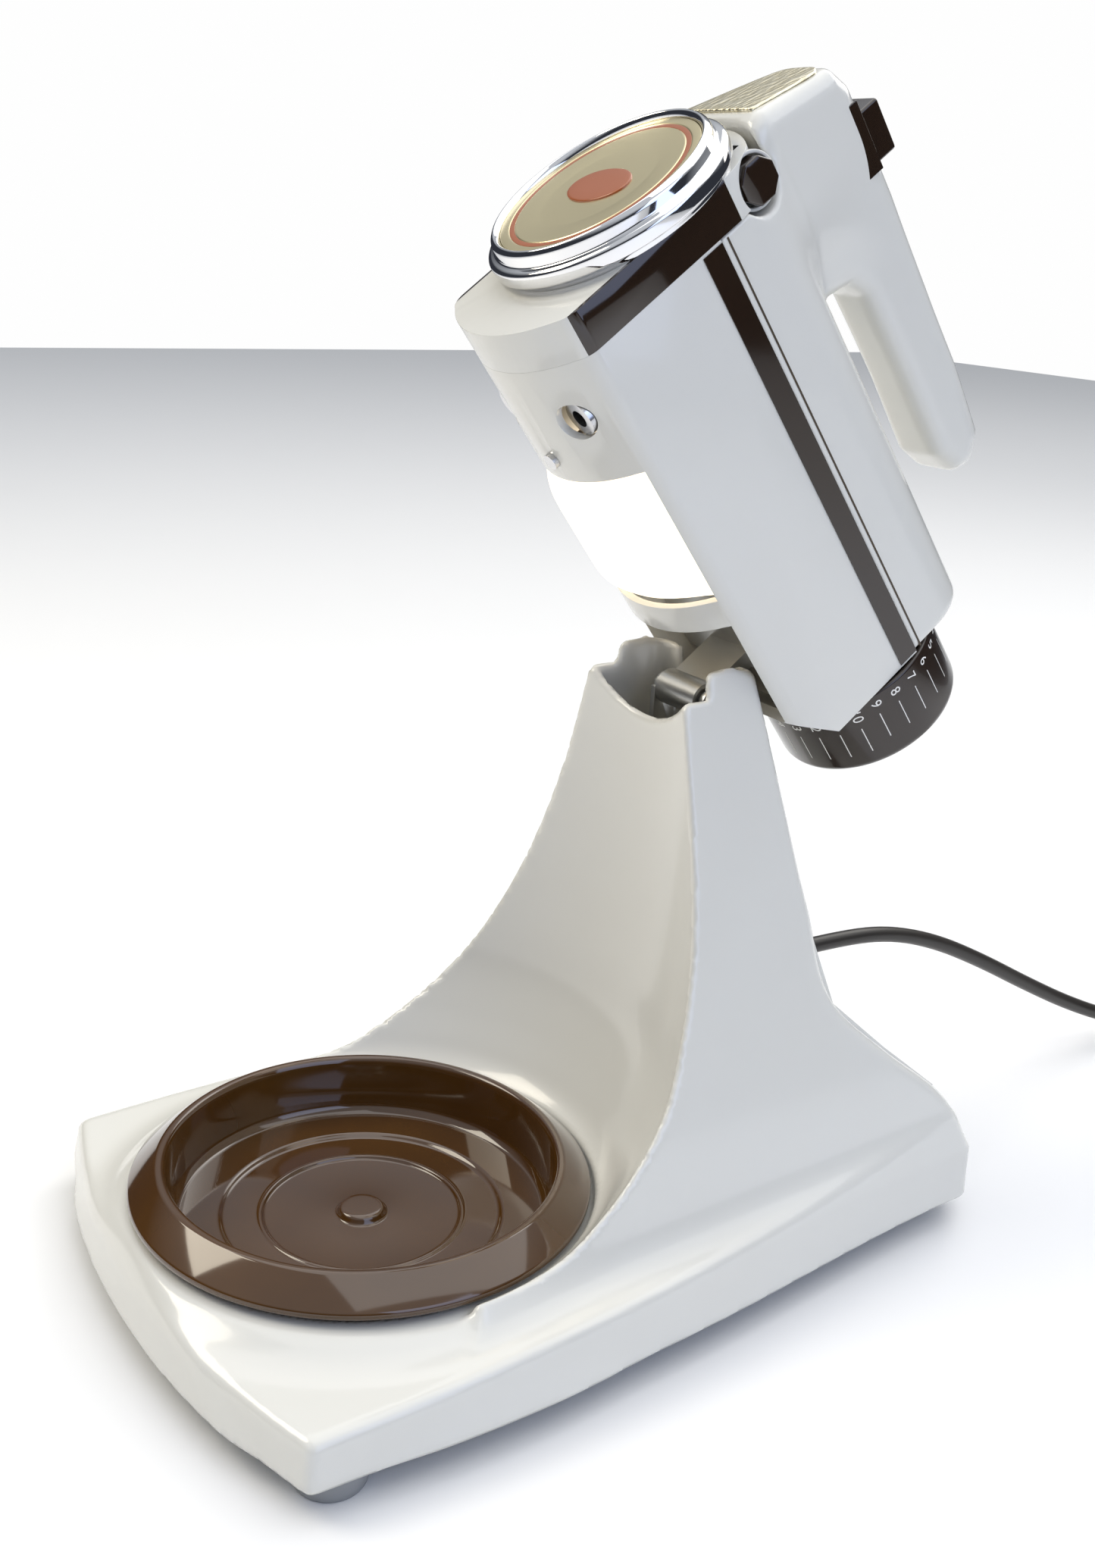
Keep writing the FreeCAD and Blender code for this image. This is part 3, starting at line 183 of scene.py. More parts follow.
def grid_faces(rows: int, columns: int, wrap_rows: bool, wrap_columns: bool) -> Array:
    """Quads over a grid of points, which may close on itself either way."""
    row_starts = np.arange(rows - (not wrap_rows))
    column_starts = np.arange(columns - (not wrap_columns))
    i, j = (part.ravel() for part in np.meshgrid(row_starts, column_starts, indexing="ij"))
    next_i, next_j = (i + 1) % rows, (j + 1) % columns
    corners = [i * columns + j, i * columns + next_j, next_i * columns + next_j, next_i * columns + j]
    return np.stack(corners, axis=1)


def sheet_faces(rows: int, columns: int) -> Array:
    """Quads of a closed sheet: a grid, the same grid behind it turned round, and the strip between them."""
    count = rows * columns
    front = grid_faces(rows, columns, False, False)
    rim = np.concatenate([np.arange(columns - 1), np.arange(rows - 1) * columns + columns - 1,
                          np.arange(count - 1, count - columns, -1), np.arange(count - columns, 0, -columns)])
    after = np.roll(rim, -1)
    strip = np.stack([rim, after, after + count, rim + count], axis=1)
    return np.concatenate([front, front[:, ::-1] + count, strip])


def turned(profile: Sequence[tuple[float, float]], count: int = 160) -> tuple[Array, Array]:
    """A closed profile of (radius, height) turned about Z: x = r cos t, y = r sin t."""
    ring = np.array(profile, float)
    t = np.linspace(0, 2 * np.pi, count, endpoint=False)
    x = np.outer(np.cos(t), ring[:, 0])
    y = np.outer(np.sin(t), ring[:, 0])
    z = np.broadcast_to(ring[:, 1], x.shape)
    return np.stack([x, y, z], axis=-1).reshape(-1, 3), grid_faces(count, len(ring), True, True)


def towards(corner: Array, neighbour: Array, radius: float) -> Array:
    """The point a radius from a corner towards its neighbour, at most 0.45 of the way."""
    length = np.linalg.norm(neighbour - corner)
    return corner + (neighbour - corner) * (min(radius, 0.45 * length) / max(length, TINY))


def eased(profile: Sequence[tuple[float, float]], radius: float, steps: int = 4) -> list[tuple[float, float]]:
    """Round every corner of a closed profile with a quadratic curve of about that radius."""
    points, out = np.array(profile, float), []
    for index, here in enumerate(points):
        if here[0] < ON_AXIS:
            out.append(tuple(here))
            continue
        start = towards(here, points[index - 1], radius)
        end = towards(here, points[(index + 1) % len(points)], radius)
        for s in np.linspace(0, 1, steps):
            out.append(tuple((1 - s) ** 2 * start + 2 * s * (1 - s) * here + s * s * end))
    return out


def skin(name: str, shape: Field, low: Sequence[float], high: Sequence[float], step: float,
         to_frame: Callable[[Array], Array]) -> bpy.types.Object:
    """Mesh the zero surface of a field: one point per crossed cell, one quad per crossed grid edge.

    Each point starts at the mean of its cell's edge crossings and is then moved along the field's
    gradient onto the surface.

    Args:
        name: the piece's name.
        shape: the field, negative inside.
        low, high: corners of the sampled box.
        step: distance between samples.
        to_frame: turns the field's millimetres into metres in the frame.
    Returns:
        The finished object.
    """
    axes = [np.arange(a, b + step, step) for a, b in zip(low, high)]
    value = shape(*np.meshgrid(*axes, indexing="ij", sparse=True))
    value = np.broadcast_to(value, [len(axis) for axis in axes])
    inside = value < 0
    size = [n - 1 for n in value.shape]

    def corner(array: Array, i: int, j: int, k: int) -> Array:
        """The samples at one corner of every cell."""
        return array[i:i + size[0], j:j + size[1], k:k + size[2]]

    offsets = [(i, j, k) for i in (0, 1) for j in (0, 1) for k in (0, 1)]
    filled = sum(corner(inside, *offset).astype(np.int8) for offset in offsets)
    cells = np.argwhere((filled > 0) & (filled < 8))
    number = np.full(filled.shape, -1, np.int64)
    number[tuple(cells.T)] = np.arange(len(cells))
    total, hits = np.zeros((len(cells), 3)), np.zeros(len(cells))
    for a in offsets:
        for axis in range(3):
            if a[axis]:
                continue
            b = tuple(v + (i == axis) for i, v in enumerate(a))
            va, vb = value[tuple((cells + a).T)], value[tuple((cells + b).T)]
            crossed = (va < 0) != (vb < 0)
            share = np.where(crossed, va / np.where(crossed, va - vb, 1.0), 0.0)
            spot = cells + np.array(a, float)
            spot[:, axis] += share
            total += spot * crossed[:, None]
            hits += crossed
    points = np.array([axis[0] for axis in axes]) + step * total / hits[:, None]
    for _ in range(NEWTON_STEPS):
        points = points - slide(shape, points, step)
    faces = []
    for axis in range(3):
        first = [slice(None)] * 3
        second = [slice(None)] * 3
        first[axis], second[axis] = slice(0, -1), slice(1, None)
        edge_in, edge_out = inside[tuple(first)], inside[tuple(second)]
        spots = np.argwhere(edge_in != edge_out)
        u, v = (axis + 1) % 3, (axis + 2) % 3
        keep = (spots[:, u] > 0) & (spots[:, v] > 0) & (spots[:, u] < value.shape[u] - 1)
        keep &= spots[:, v] < value.shape[v] - 1
        spots = spots[keep]
        ring = []
        for du, dv in ((1, 1), (0, 1), (0, 0), (1, 0)):
            cell = spots.copy()
            cell[:, u] -= du
            cell[:, v] -= dv
            ring.append(number[tuple(cell.T)])
        quads = np.stack(ring, axis=1)
        outward = edge_in[tuple(spots.T)]
        quads[outward] = quads[outward][:, ::-1]
        faces.append(quads)
    return new_object(name, to_frame(points), np.concatenate(faces))


def slide(shape: Field, points: Array, step: float) -> Array:
    """One Newton step towards a field's zero surface, at most half a cell long."""
    probe, least_slope = 0.05, 0.05
    here = shape(*points.T)
    slope = np.stack([(shape(*(points + probe * way).T) - here) / probe for way in np.eye(3)], axis=1)
    move = slope * (here / np.maximum((slope ** 2).sum(axis=1), least_slope))[:, None]
    length = np.linalg.norm(move, axis=1, keepdims=True)
    return move * np.minimum(1.0, 0.5 * step / np.maximum(length, TINY))


def softened(node: str, width: float, steps: int = 2) -> bpy.types.Object:
    """A copy of a CAD node whose sharp edges are rounded.

    Args:
        node: the CAD node that the copy stands for.
        width: the rounding, in millimetres.
        steps: segments across each rounding.
    Returns:
        The piece, named after the node with "_soft" added, riding on the node's body.
    """
    source = frame["nodes"][node]
    work = bmesh.new()
    work.from_mesh(source.data)
    bmesh.ops.remove_doubles(work, verts=work.verts, dist=MERGE_REACH)
    bmesh.ops.dissolve_limit(work, angle_limit=FLAT_ANGLE, verts=work.verts, edges=work.edges)
    mesh = bpy.data.meshes.new(node + "_soft")
    work.to_mesh(mesh)
    work.free()
    piece = bpy.data.objects.new(node + "_soft", mesh)
    bpy.context.scene.collection.objects.link(piece)
    mesh.polygons.foreach_set("use_smooth", [True] * len(mesh.polygons))
    bevel = piece.modifiers.new("edges", "BEVEL")
    bevel.width, bevel.segments = width * MM, steps
    bevel.limit_method, bevel.angle_limit = "ANGLE", SHARP_ANGLE
    bevel.use_clamp_overlap = True
    bevel.harden_normals = True
    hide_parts(node)
    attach(piece, source["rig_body"])
    return piece


# ---------------------------------------------------------------- finishes
class Grain(Enum):
    """How a finish's fine relief is made."""
    PEEL = "a faint ripple of moulding or lacquer"
    # On the grained plate this crystal pattern also places the pale tint: painted glints in the metal's
    # colour.
    CAST = "coarse crystals of a textured plate"
    BRUSH = "fine lines turned about the piece's axis"
    SAND = "fine matte grain"


@dataclass(frozen=True)
class Finish:
    """One surface finish, turned into a material of procedural nodes."""
    name: str
    colour: tuple[float, float, float]
    roughness: float = 0.3
    metallic: float = 0.0
    coat: float = 0.0
    tint: tuple[float, float, float] | None = None
    grain: Grain = Grain.PEEL
    scale: float = 260.0
    relief: float = 0.02
    glow: float = 0.0
    spread: float = 0.06

    def material(self) -> bpy.types.Material:
        """Build the material once and return it from then on."""
        ready = bpy.data.materials.get(self.name)
        if ready:
            return ready
        made = bpy.data.materials.new(self.name)
        made.use_nodes = True
        tree = made.node_tree
        shader = tree.nodes["Principled BSDF"]
        shader.inputs["Base Color"].default_value = (*self.colour, 1)
        shader.inputs["Metallic"].default_value = self.metallic
        shader.inputs["Coat Weight"].default_value = self.coat
        shader.inputs["Coat Roughness"].default_value = COAT_ROUGHNESS
        if self.glow:
            shader.inputs["Emission Color"].default_value = LAMP_COLOUR
            shader.inputs["Emission Strength"].default_value = self.glow
        place = tree.nodes.new("ShaderNodeTexCoord")
        coarse = self.noise(tree, place.outputs["Object"], CLOUD_SCALE, CLOUD_DETAIL)
        fine = self.relief_source(tree, place.outputs["Object"])
        rough = tree.nodes.new("ShaderNodeMapRange")
        rough.inputs["To Min"].default_value = max(LEAST_ROUGHNESS, self.roughness - self.spread / 2)
        rough.inputs["To Max"].default_value = self.roughness + self.spread / 2
        tree.links.new(coarse, rough.inputs["Value"])
        tree.links.new(rough.outputs["Result"], shader.inputs["Roughness"])
        # The tint is mixed in by the coarse noise, and on the grained plate by its crystals. On the smoked
        # plate and the grained plate the tint is a painted highlight tone. On the other finishes it is the
        # material's own uneven tone.
        if self.tint:
            mix = tree.nodes.new("ShaderNodeMix")
            mix.data_type = "RGBA"
            mix.inputs["A"].default_value = (*self.colour, 1)
            mix.inputs["B"].default_value = (*self.tint, 1)
            tree.links.new(fine if self.grain is Grain.CAST else coarse, mix.inputs["Factor"])
            tree.links.new(mix.outputs["Result"], shader.inputs["Base Color"])
        bump = tree.nodes.new("ShaderNodeBump")
        bump.inputs["Strength"].default_value = BUMP_STRENGTH
        bump.inputs["Distance"].default_value = self.relief * MM
        tree.links.new(fine, bump.inputs["Height"])
        tree.links.new(bump.outputs["Normal"], shader.inputs["Normal"])
        return made

    @staticmethod
    def noise(tree: bpy.types.NodeTree, place: bpy.types.NodeSocket, scale: float,
              detail: float) -> bpy.types.NodeSocket:
        """A noise pattern that runs from 0 to 1."""
        node = tree.nodes.new("ShaderNodeTexNoise")
        node.inputs["Scale"].default_value = scale
        node.inputs["Detail"].default_value = detail
        tree.links.new(place, node.inputs["Vector"])
        return node.outputs["Fac"]

    def relief_source(self, tree: bpy.types.NodeTree, place: bpy.types.NodeSocket) -> bpy.types.NodeSocket:
        """The pattern behind the bump, which on the grained plate also places its painted glints."""
        if self.grain is Grain.CAST:
            cells = tree.nodes.new("ShaderNodeTexVoronoi")
            cells.inputs["Scale"].default_value = self.scale
            cells.inputs["Randomness"].default_value = 1.0
            stretch = tree.nodes.new("ShaderNodeMapping")
            stretch.inputs["Scale"].default_value = (1.0, 0.45, 0.45)
            tree.links.new(place, stretch.inputs["Vector"])
            tree.links.new(stretch.outputs["Vector"], cells.inputs["Vector"])
            return cells.outputs["Distance"]
        if self.grain is Grain.BRUSH:
            stretch = tree.nodes.new("ShaderNodeMapping")
            stretch.inputs["Scale"].default_value = (0.05, 1.0, 1.0)
            tree.links.new(place, stretch.inputs["Vector"])
            return self.noise(tree, stretch.outputs["Vector"], self.scale * 4, FINE_DETAIL)
        scale = self.scale if self.grain is Grain.PEEL else self.scale * 6
        return self.noise(tree, place, scale, FINE_DETAIL)


CREAM = Finish("cream_moulding", (0.74, 0.735, 0.69), 0.20, coat=0.4, tint=(0.71, 0.70, 0.65), scale=120,
               relief=0.012)
# Near-black smoked brown, mixed in blotches with the olive tone of its highlights: a real dark brown with
# painted highlight over it.
SMOKE_WITH_PAINTED_SHEEN = Finish("smoked_brown_plastic", (0.034, 0.012, 0.003), 0.07, coat=0.7,
               tint=(0.095, 0.042, 0.008), relief=0.006)
TRIM = Finish("brown_gloss_trim", (0.016, 0.008, 0.004), 0.08, coat=0.6,
              tint=(0.026, 0.014, 0.007), relief=0.006)
DIAL = Finish("brown_dial", (0.018, 0.010, 0.006), 0.20, coat=0.4, tint=(0.026, 0.015, 0.009), relief=0.01)
CHROME = Finish("chrome_plating", (0.86, 0.86, 0.87), 0.06, metallic=1.0, spread=0.03, relief=0.004)
DISC = Finish("brushed_pale_brass", (0.78, 0.68, 0.42), 0.30, metallic=1.0, grain=Grain.BRUSH,
              scale=300, relief=0.02)
# Gold metal paled towards the edges of its crystals: painted glints in place of streaks of reflected light,
# over the plate's real grained relief.
GRAINED_PLATE_WITH_PAINTED_GLINTS = Finish("grained_gold_plate", (0.62, 0.55, 0.36), 0.34, metallic=1.0, tint=(0.88, 0.83, 0.66),
                    grain=Grain.CAST, scale=520, relief=0.55)
ORANGE = Finish("orange_enamel", (0.36, 0.085, 0.010), 0.30, coat=0.5, relief=0.006)
WHITE_PRINT = Finish("white_print", (0.85, 0.84, 0.80), 0.45, relief=0.004)
RUBBER = Finish("grey_foot_rubber", (0.30, 0.31, 0.32), 0.55, tint=(0.24, 0.25, 0.26),
                grain=Grain.SAND, relief=0.05)
LEAD = Finish("dark_lead_sheath", (0.020, 0.017, 0.014), 0.36, tint=(0.032, 0.027, 0.022), relief=0.03)
STEEL = Finish("zinc_plated_steel", (0.60, 0.60, 0.58), 0.32, metallic=1.0,
               tint=(0.50, 0.50, 0.49), relief=0.03)
SHAFT = Finish("ground_steel", (0.66, 0.66, 0.67), 0.20, metallic=1.0, relief=0.01)
LAMINATE = Finish("core_laminations", (0.26, 0.26, 0.28), 0.42, metallic=0.9,
                  tint=(0.18, 0.18, 0.2), relief=0.08)
CASTING = Finish("cast_aluminium", (0.62, 0.62, 0.62), 0.45, metallic=1.0, grain=Grain.SAND, relief=0.06)
BRONZE = Finish("sintered_bronze", (0.55, 0.36, 0.18), 0.42, metallic=1.0, grain=Grain.SAND, relief=0.04)
COPPER = Finish("enamelled_copper", (0.60, 0.26, 0.10), 0.28, metallic=0.9,
                tint=(0.45, 0.17, 0.06), relief=0.06)
CARBON = Finish("carbon_block", (0.05, 0.05, 0.052), 0.6, grain=Grain.SAND, relief=0.05)
BLACK = Finish("black_moulding", (0.03, 0.03, 0.032), 0.45, grain=Grain.SAND, relief=0.03)
NATURAL = Finish("natural_nylon", (0.80, 0.77, 0.68), 0.42, tint=(0.74, 0.71, 0.62), relief=0.02)
CERAMIC = Finish("lamp_ceramic", (0.82, 0.80, 0.76), 0.25, coat=0.3, relief=0.02)
LENS = Finish("glowing_lens", (0.98, 0.94, 0.86), 0.35, glow=1.3, relief=0.01)
BULB = Finish("bulb_glass", (0.98, 0.96, 0.92), 0.08, glow=3.0, relief=0.004)

SLOT_FINISH = {
    "cream_plastic": CREAM, "brown_plastic": TRIM, "dial_plastic": DIAL, "chrome_trim": CHROME,
    "brass_disc": DISC, "gold_plate": GRAINED_PLATE_WITH_PAINTED_GLINTS, "grey_rubber": RUBBER, "cord_rubber": LEAD,
    "steel_plate": STEEL, "steel_shaft": SHAFT, "core_steel": LAMINATE, "casting": CASTING,
    "bronze": BRONZE, "copper": COPPER, "carbon": CARBON, "black_plastic": BLACK,
    "wheel_plastic": NATURAL, "ceramic": CERAMIC, "lens_plastic": LENS, "bulb_glass": BULB,
}


def dress(piece: bpy.types.Object, finish: Finish) -> bpy.types.Object:
    """Give a piece one finish, and log which."""
    piece.data.materials.clear()
    piece.data.materials.append(finish.material())
    LOG.info("dressed %s in %s", piece.name, finish.name)
    return piece


# ---------------------------------------------------------------- the stand
@dataclass
class Stand:
    """The one moulding of base and column, with its well, its rim and the hinge's posts."""
    front_height: float = 27.5
    rise: float = 13.9
    length: float = 314.6
    half_width: float = 110.0
    rear_half_width: float = 77.0
    front_bow: float = 17.5
    side_bow: float = 11.2
    underside: float = 10.7
    lean: float = 0.179
    mound_height: float = 36.0
    mound_radius: float = 88.0
    well_radius: float = 79.5
    well_floor: float = 18.0
    wall: float = 3.0
    inset: float = 1.2
    front_inset: float = 0.8
    levels: tuple[float, ...] = (33.5, 57.0, 77.5, 98.0, 139.1, 180.1, 229.0)
    halves: tuple[float, ...] = (89.5, 82.5, 76.0, 68.4, 54.4, 41.1, 27.5)
    rears: tuple[float, ...] = (305.5, 292.5, 267.5, 245.0, 235.0, 228.5, 219.5)
    scoop_heights: tuple[float, ...] = (36.0, 46.0, 62.0, 80.0, 100.0, 240.0)
    scoop_radii: tuple[float, ...] = (88.0, 93.0, 102.0, 110.0, 114.0, 114.0)
    dish_radius: float = 87.0
    hollow_floor: float = 150.0
    slot_low: tuple[float, float, float] = (-17.0, 211.5, 200.0)
    slot_high: tuple[float, float, float] = (17.0, 260.0, 260.0)
    lead_height: float = 90.0
    lead_hole: float = 6.1
    lead_from: float = 235.0
    under_inset: float = 3.1
    under_height: float = 13.4
    pin_hole: float = 4.05
    post_place: tuple[float, float] = (24.0, 205.0)
    post_radius: float = 5.0
    post_top: float = 184.9
    post_foot: float = 148.0
    step: float = 1.9

    def plan(self, x: Array, y: Array) -> Array:
        """The outline: three arcs and a straight rear, as the largest of their distances."""
        radius = (self.half_width ** 2 + self.front_bow ** 2) / (2 * self.front_bow)
        front = np.hypot(x, y - radius + self.front_bow) - radius + self.front_inset
        chord = np.array([self.rear_half_width - self.half_width, self.length])
        span = np.linalg.norm(chord)
        out = np.array([chord[1], -chord[0]]) / span
        bow = self.side_bow * out[0]
        side_radius = (span ** 2 / 4 + bow ** 2) / (2 * bow)
        middle = np.array([self.half_width, 0]) + chord / 2 + out * (bow - side_radius)
        side = np.hypot(np.abs(x) - middle[0], y - middle[1]) - side_radius
        return soft_max(soft_max(front, side, 3.0), y - self.length, 5.0)

    def curve(self, z: Array, heights: Sequence[float], values: Sequence[float]) -> Array:
        """A smooth curve through values at heights, by cubic pieces with averaged slopes."""
        h, v = np.array(heights), np.array(values)
        slope = np.gradient(v, h)
        index = np.clip(np.searchsorted(h, z) - 1, 0, len(h) - 2)
        width = h[index + 1] - h[index]
        t = np.clip((z - h[index]) / width, 0, 1)
        return ((2 * t ** 3 - 3 * t ** 2 + 1) * v[index] + (t ** 3 - 2 * t ** 2 + t) * width * slope[index]
                + (-2 * t ** 3 + 3 * t ** 2) * v[index + 1] + (t ** 3 - t ** 2) * width * slope[index + 1])

    def base(self, x: Array, y: Array, z: Array) -> Array:
        """The low slab with leaning walls, a sloping top and the mound round the bowl plate."""
        wall = self.plan(x, y) + self.lean * (z - self.front_height) + self.inset
        top = z - (self.front_height + self.rise * y / self.length)
        slab = soft_max(wall, top, 4.0)
        radius = np.hypot(x, y - TABLE_SETBACK)
        flank = (radius - self.mound_radius - 1.0 * (self.mound_height - z)) * 0.71
        mound = soft_max(soft_max(flank, z - self.mound_height, 4.0), wall, 3.0)
        return soft_min(slab, mound, 9.0)

    def column_walls(self, x: Array, y: Array, z: Array, inset: float) -> Array:
        """The column's four sides: two leaning flanks, the turned front and the rear."""
        half = self.curve(z, self.levels, self.halves)
        rear = self.curve(z, self.levels, self.rears)
        scoop = self.curve(z, self.scoop_heights, self.scoop_radii)
        flank = (np.abs(x) - half) * 0.94
        front = scoop - np.hypot(x, y - TABLE_SETBACK)
        behind = (y - rear) * 0.95
        ahead = TABLE_SETBACK - y
        edged = soft_max(flank, front, 1.6)
        return np.maximum(soft_max(edged, behind, 5.0), ahead) + inset

    def rim(self, x: Array, y: Array, z: Array) -> Array:
        """What is taken off the column's top: the part above a rising line, and a round dip in front."""
        line = ((100, 217), (183, 217), (190, 222.5), (199, 228), (208, 229), (221.5, 226), (340, 226),
                (340, 300), (100, 300))
        chord, dip = 27.5, 11.0
        radius = (chord * chord + dip * dip) / (2 * dip)
        scallop = np.maximum(np.hypot(x, z - (217 - dip + radius)) - radius, y - 196)
        return soft_min(outline(y, z, line) + 0 * x, scallop, 2.0)

    def shape(self, x: Array, y: Array, z: Array) -> Array:
        """Base and column blended, less the well, the hollow top, the slot and the lead's hole."""
        column = self.column_walls(x, y, z, 0.0)
        solid = soft_min(self.base(x, y, z), column, 12.0)
        solid = soft_max(solid, -self.rim(x, y, z), 2.4)
        for cut, edge in self.cuts(x, y, z):
            solid = soft_max(solid, -cut, edge)
        post_x, post_y = self.post_place
        post = np.maximum(np.hypot(np.abs(x) - post_x, y - post_y) - self.post_radius, z - self.post_top)
        post = np.maximum(np.maximum(post, self.post_foot - z), self.column_walls(x, y, z, 1.0))
        return soft_max(soft_min(solid, post, 1.5), self.underside - z, 2.6)

    def cuts(self, x: Array, y: Array, z: Array) -> list[tuple[Array, float]]:
        """What is taken out of the blended solid, each with the rounding of its edge."""
        radius = np.hypot(x, y - TABLE_SETBACK)
        above_plate = np.maximum(radius - self.dish_radius, self.mound_height - z)
        well = np.maximum(radius - self.well_radius, self.well_floor - z)
        hollow = soft_max(self.column_walls(x, y, z, self.wall), self.hollow_floor - z, 3.0)
        slot = brick(x, y, z, self.slot_low, self.slot_high)
        lead = np.maximum(np.hypot(x, z - self.lead_height) - self.lead_hole, self.lead_from - y)
        under = np.maximum(self.plan(x, y) + self.under_inset, z - self.under_height)
        pin = radius - self.pin_hole
        return [(above_plate, 1.5), (well, 1.0), (hollow, 2.0), (slot, 1.6), (lead, 1.2), (under, 2.4),
                (pin, 0.5)]

    def build(self) -> None:
        """Make the moulding and dress what belongs to the stand."""
        low = (-118.0, -26.0, 8.0)
        high = (118.0, 320.0, 232.0)
        piece = skin("stand_moulding", self.shape, low, high, self.step, stand_to_frame)
        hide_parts("stand_shell")
        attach(piece, "stand")
        dress(piece, CREAM)
        dress(softened("rubber_feet", 1.2), RUBBER)
        dress(softened("column_rear_cover", 0.7), CREAM)
        dress(softened("hinge_bracket", 0.4), STEEL)
        dress(softened("strain_relief", 0.6), LEAD)


# ---------------------------------------------------------------- the bowl plate
@dataclass
class BowlPlate:
    """The smoked plate: a bevelled outer rim, a bright inner edge and a stepped floor."""
    skirt_radius: float = 85.5
    skirt_height: float = 38.9
    ridge_radius: float = 74.0
    ridge_height: float = 50.1
    floor_radius: float = 70.0
    floor_height: float = 24.0
    hub_radius: float = 14.0
    hub_foot: float = 19.7
    bore_radius: float = 4.05
    thickness: float = 3.0

    def profile(self) -> list[tuple[float, float]]:
        """Half the section, from the pin's bore round the outside and back over the floor."""
        floor, ridge, skirt = self.floor_height, self.ridge_height, self.skirt_height
        under = floor - self.thickness
        bore, hub, foot = self.bore_radius, self.hub_radius, self.hub_foot
        return [(bore, foot), (hub, foot), (hub, under), (self.floor_radius + 3, under),
                (self.ridge_radius + 2, floor + 4), (self.ridge_radius + 2, skirt - 0.4),
                (self.skirt_radius, skirt), (self.skirt_radius, skirt + 2.4),
                (self.ridge_radius + 1.2, ridge), (self.ridge_radius - 1.2, ridge),
                (self.ridge_radius - 2.4, ridge - 2.0), (self.floor_radius + 0.4, floor + 5),
                (self.floor_radius - 2, floor + 2.2), (53, floor + 2.2), (51.5, floor + 0.7),
                (39, floor + 0.7), (38.2, floor + 1.3), (37.2, floor + 1.3), (36.4, floor), (9.4, floor),
                (8.2, floor + 2.6), (6.5, floor + 3.0), (0.0, floor + 3.0), (0.0, floor + 1.5),
                (bore, floor + 1.5)]

    def build(self) -> None:
        """Turn the section about the plate's axis."""
        points, faces = turned(eased(self.profile(), 0.9), 200)
        points[:, 1] += TABLE_SETBACK
        piece = new_object("bowl_plate", stand_to_frame(points), faces)
        close_poles(piece)
        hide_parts("turntable")
        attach(piece, "turntable")
        dress(piece, SMOKE_WITH_PAINTED_SHEEN)


def close_poles(piece: bpy.types.Object) -> None:
    """Merge the points that a turned profile leaves on its axis, and point the faces outwards."""
    work = bmesh.new()
    work.from_mesh(piece.data)
    bmesh.ops.remove_doubles(work, verts=work.verts, dist=1e-6)
    bmesh.ops.recalc_face_normals(work, faces=work.faces)
    work.to_mesh(piece.data)
    work.free()


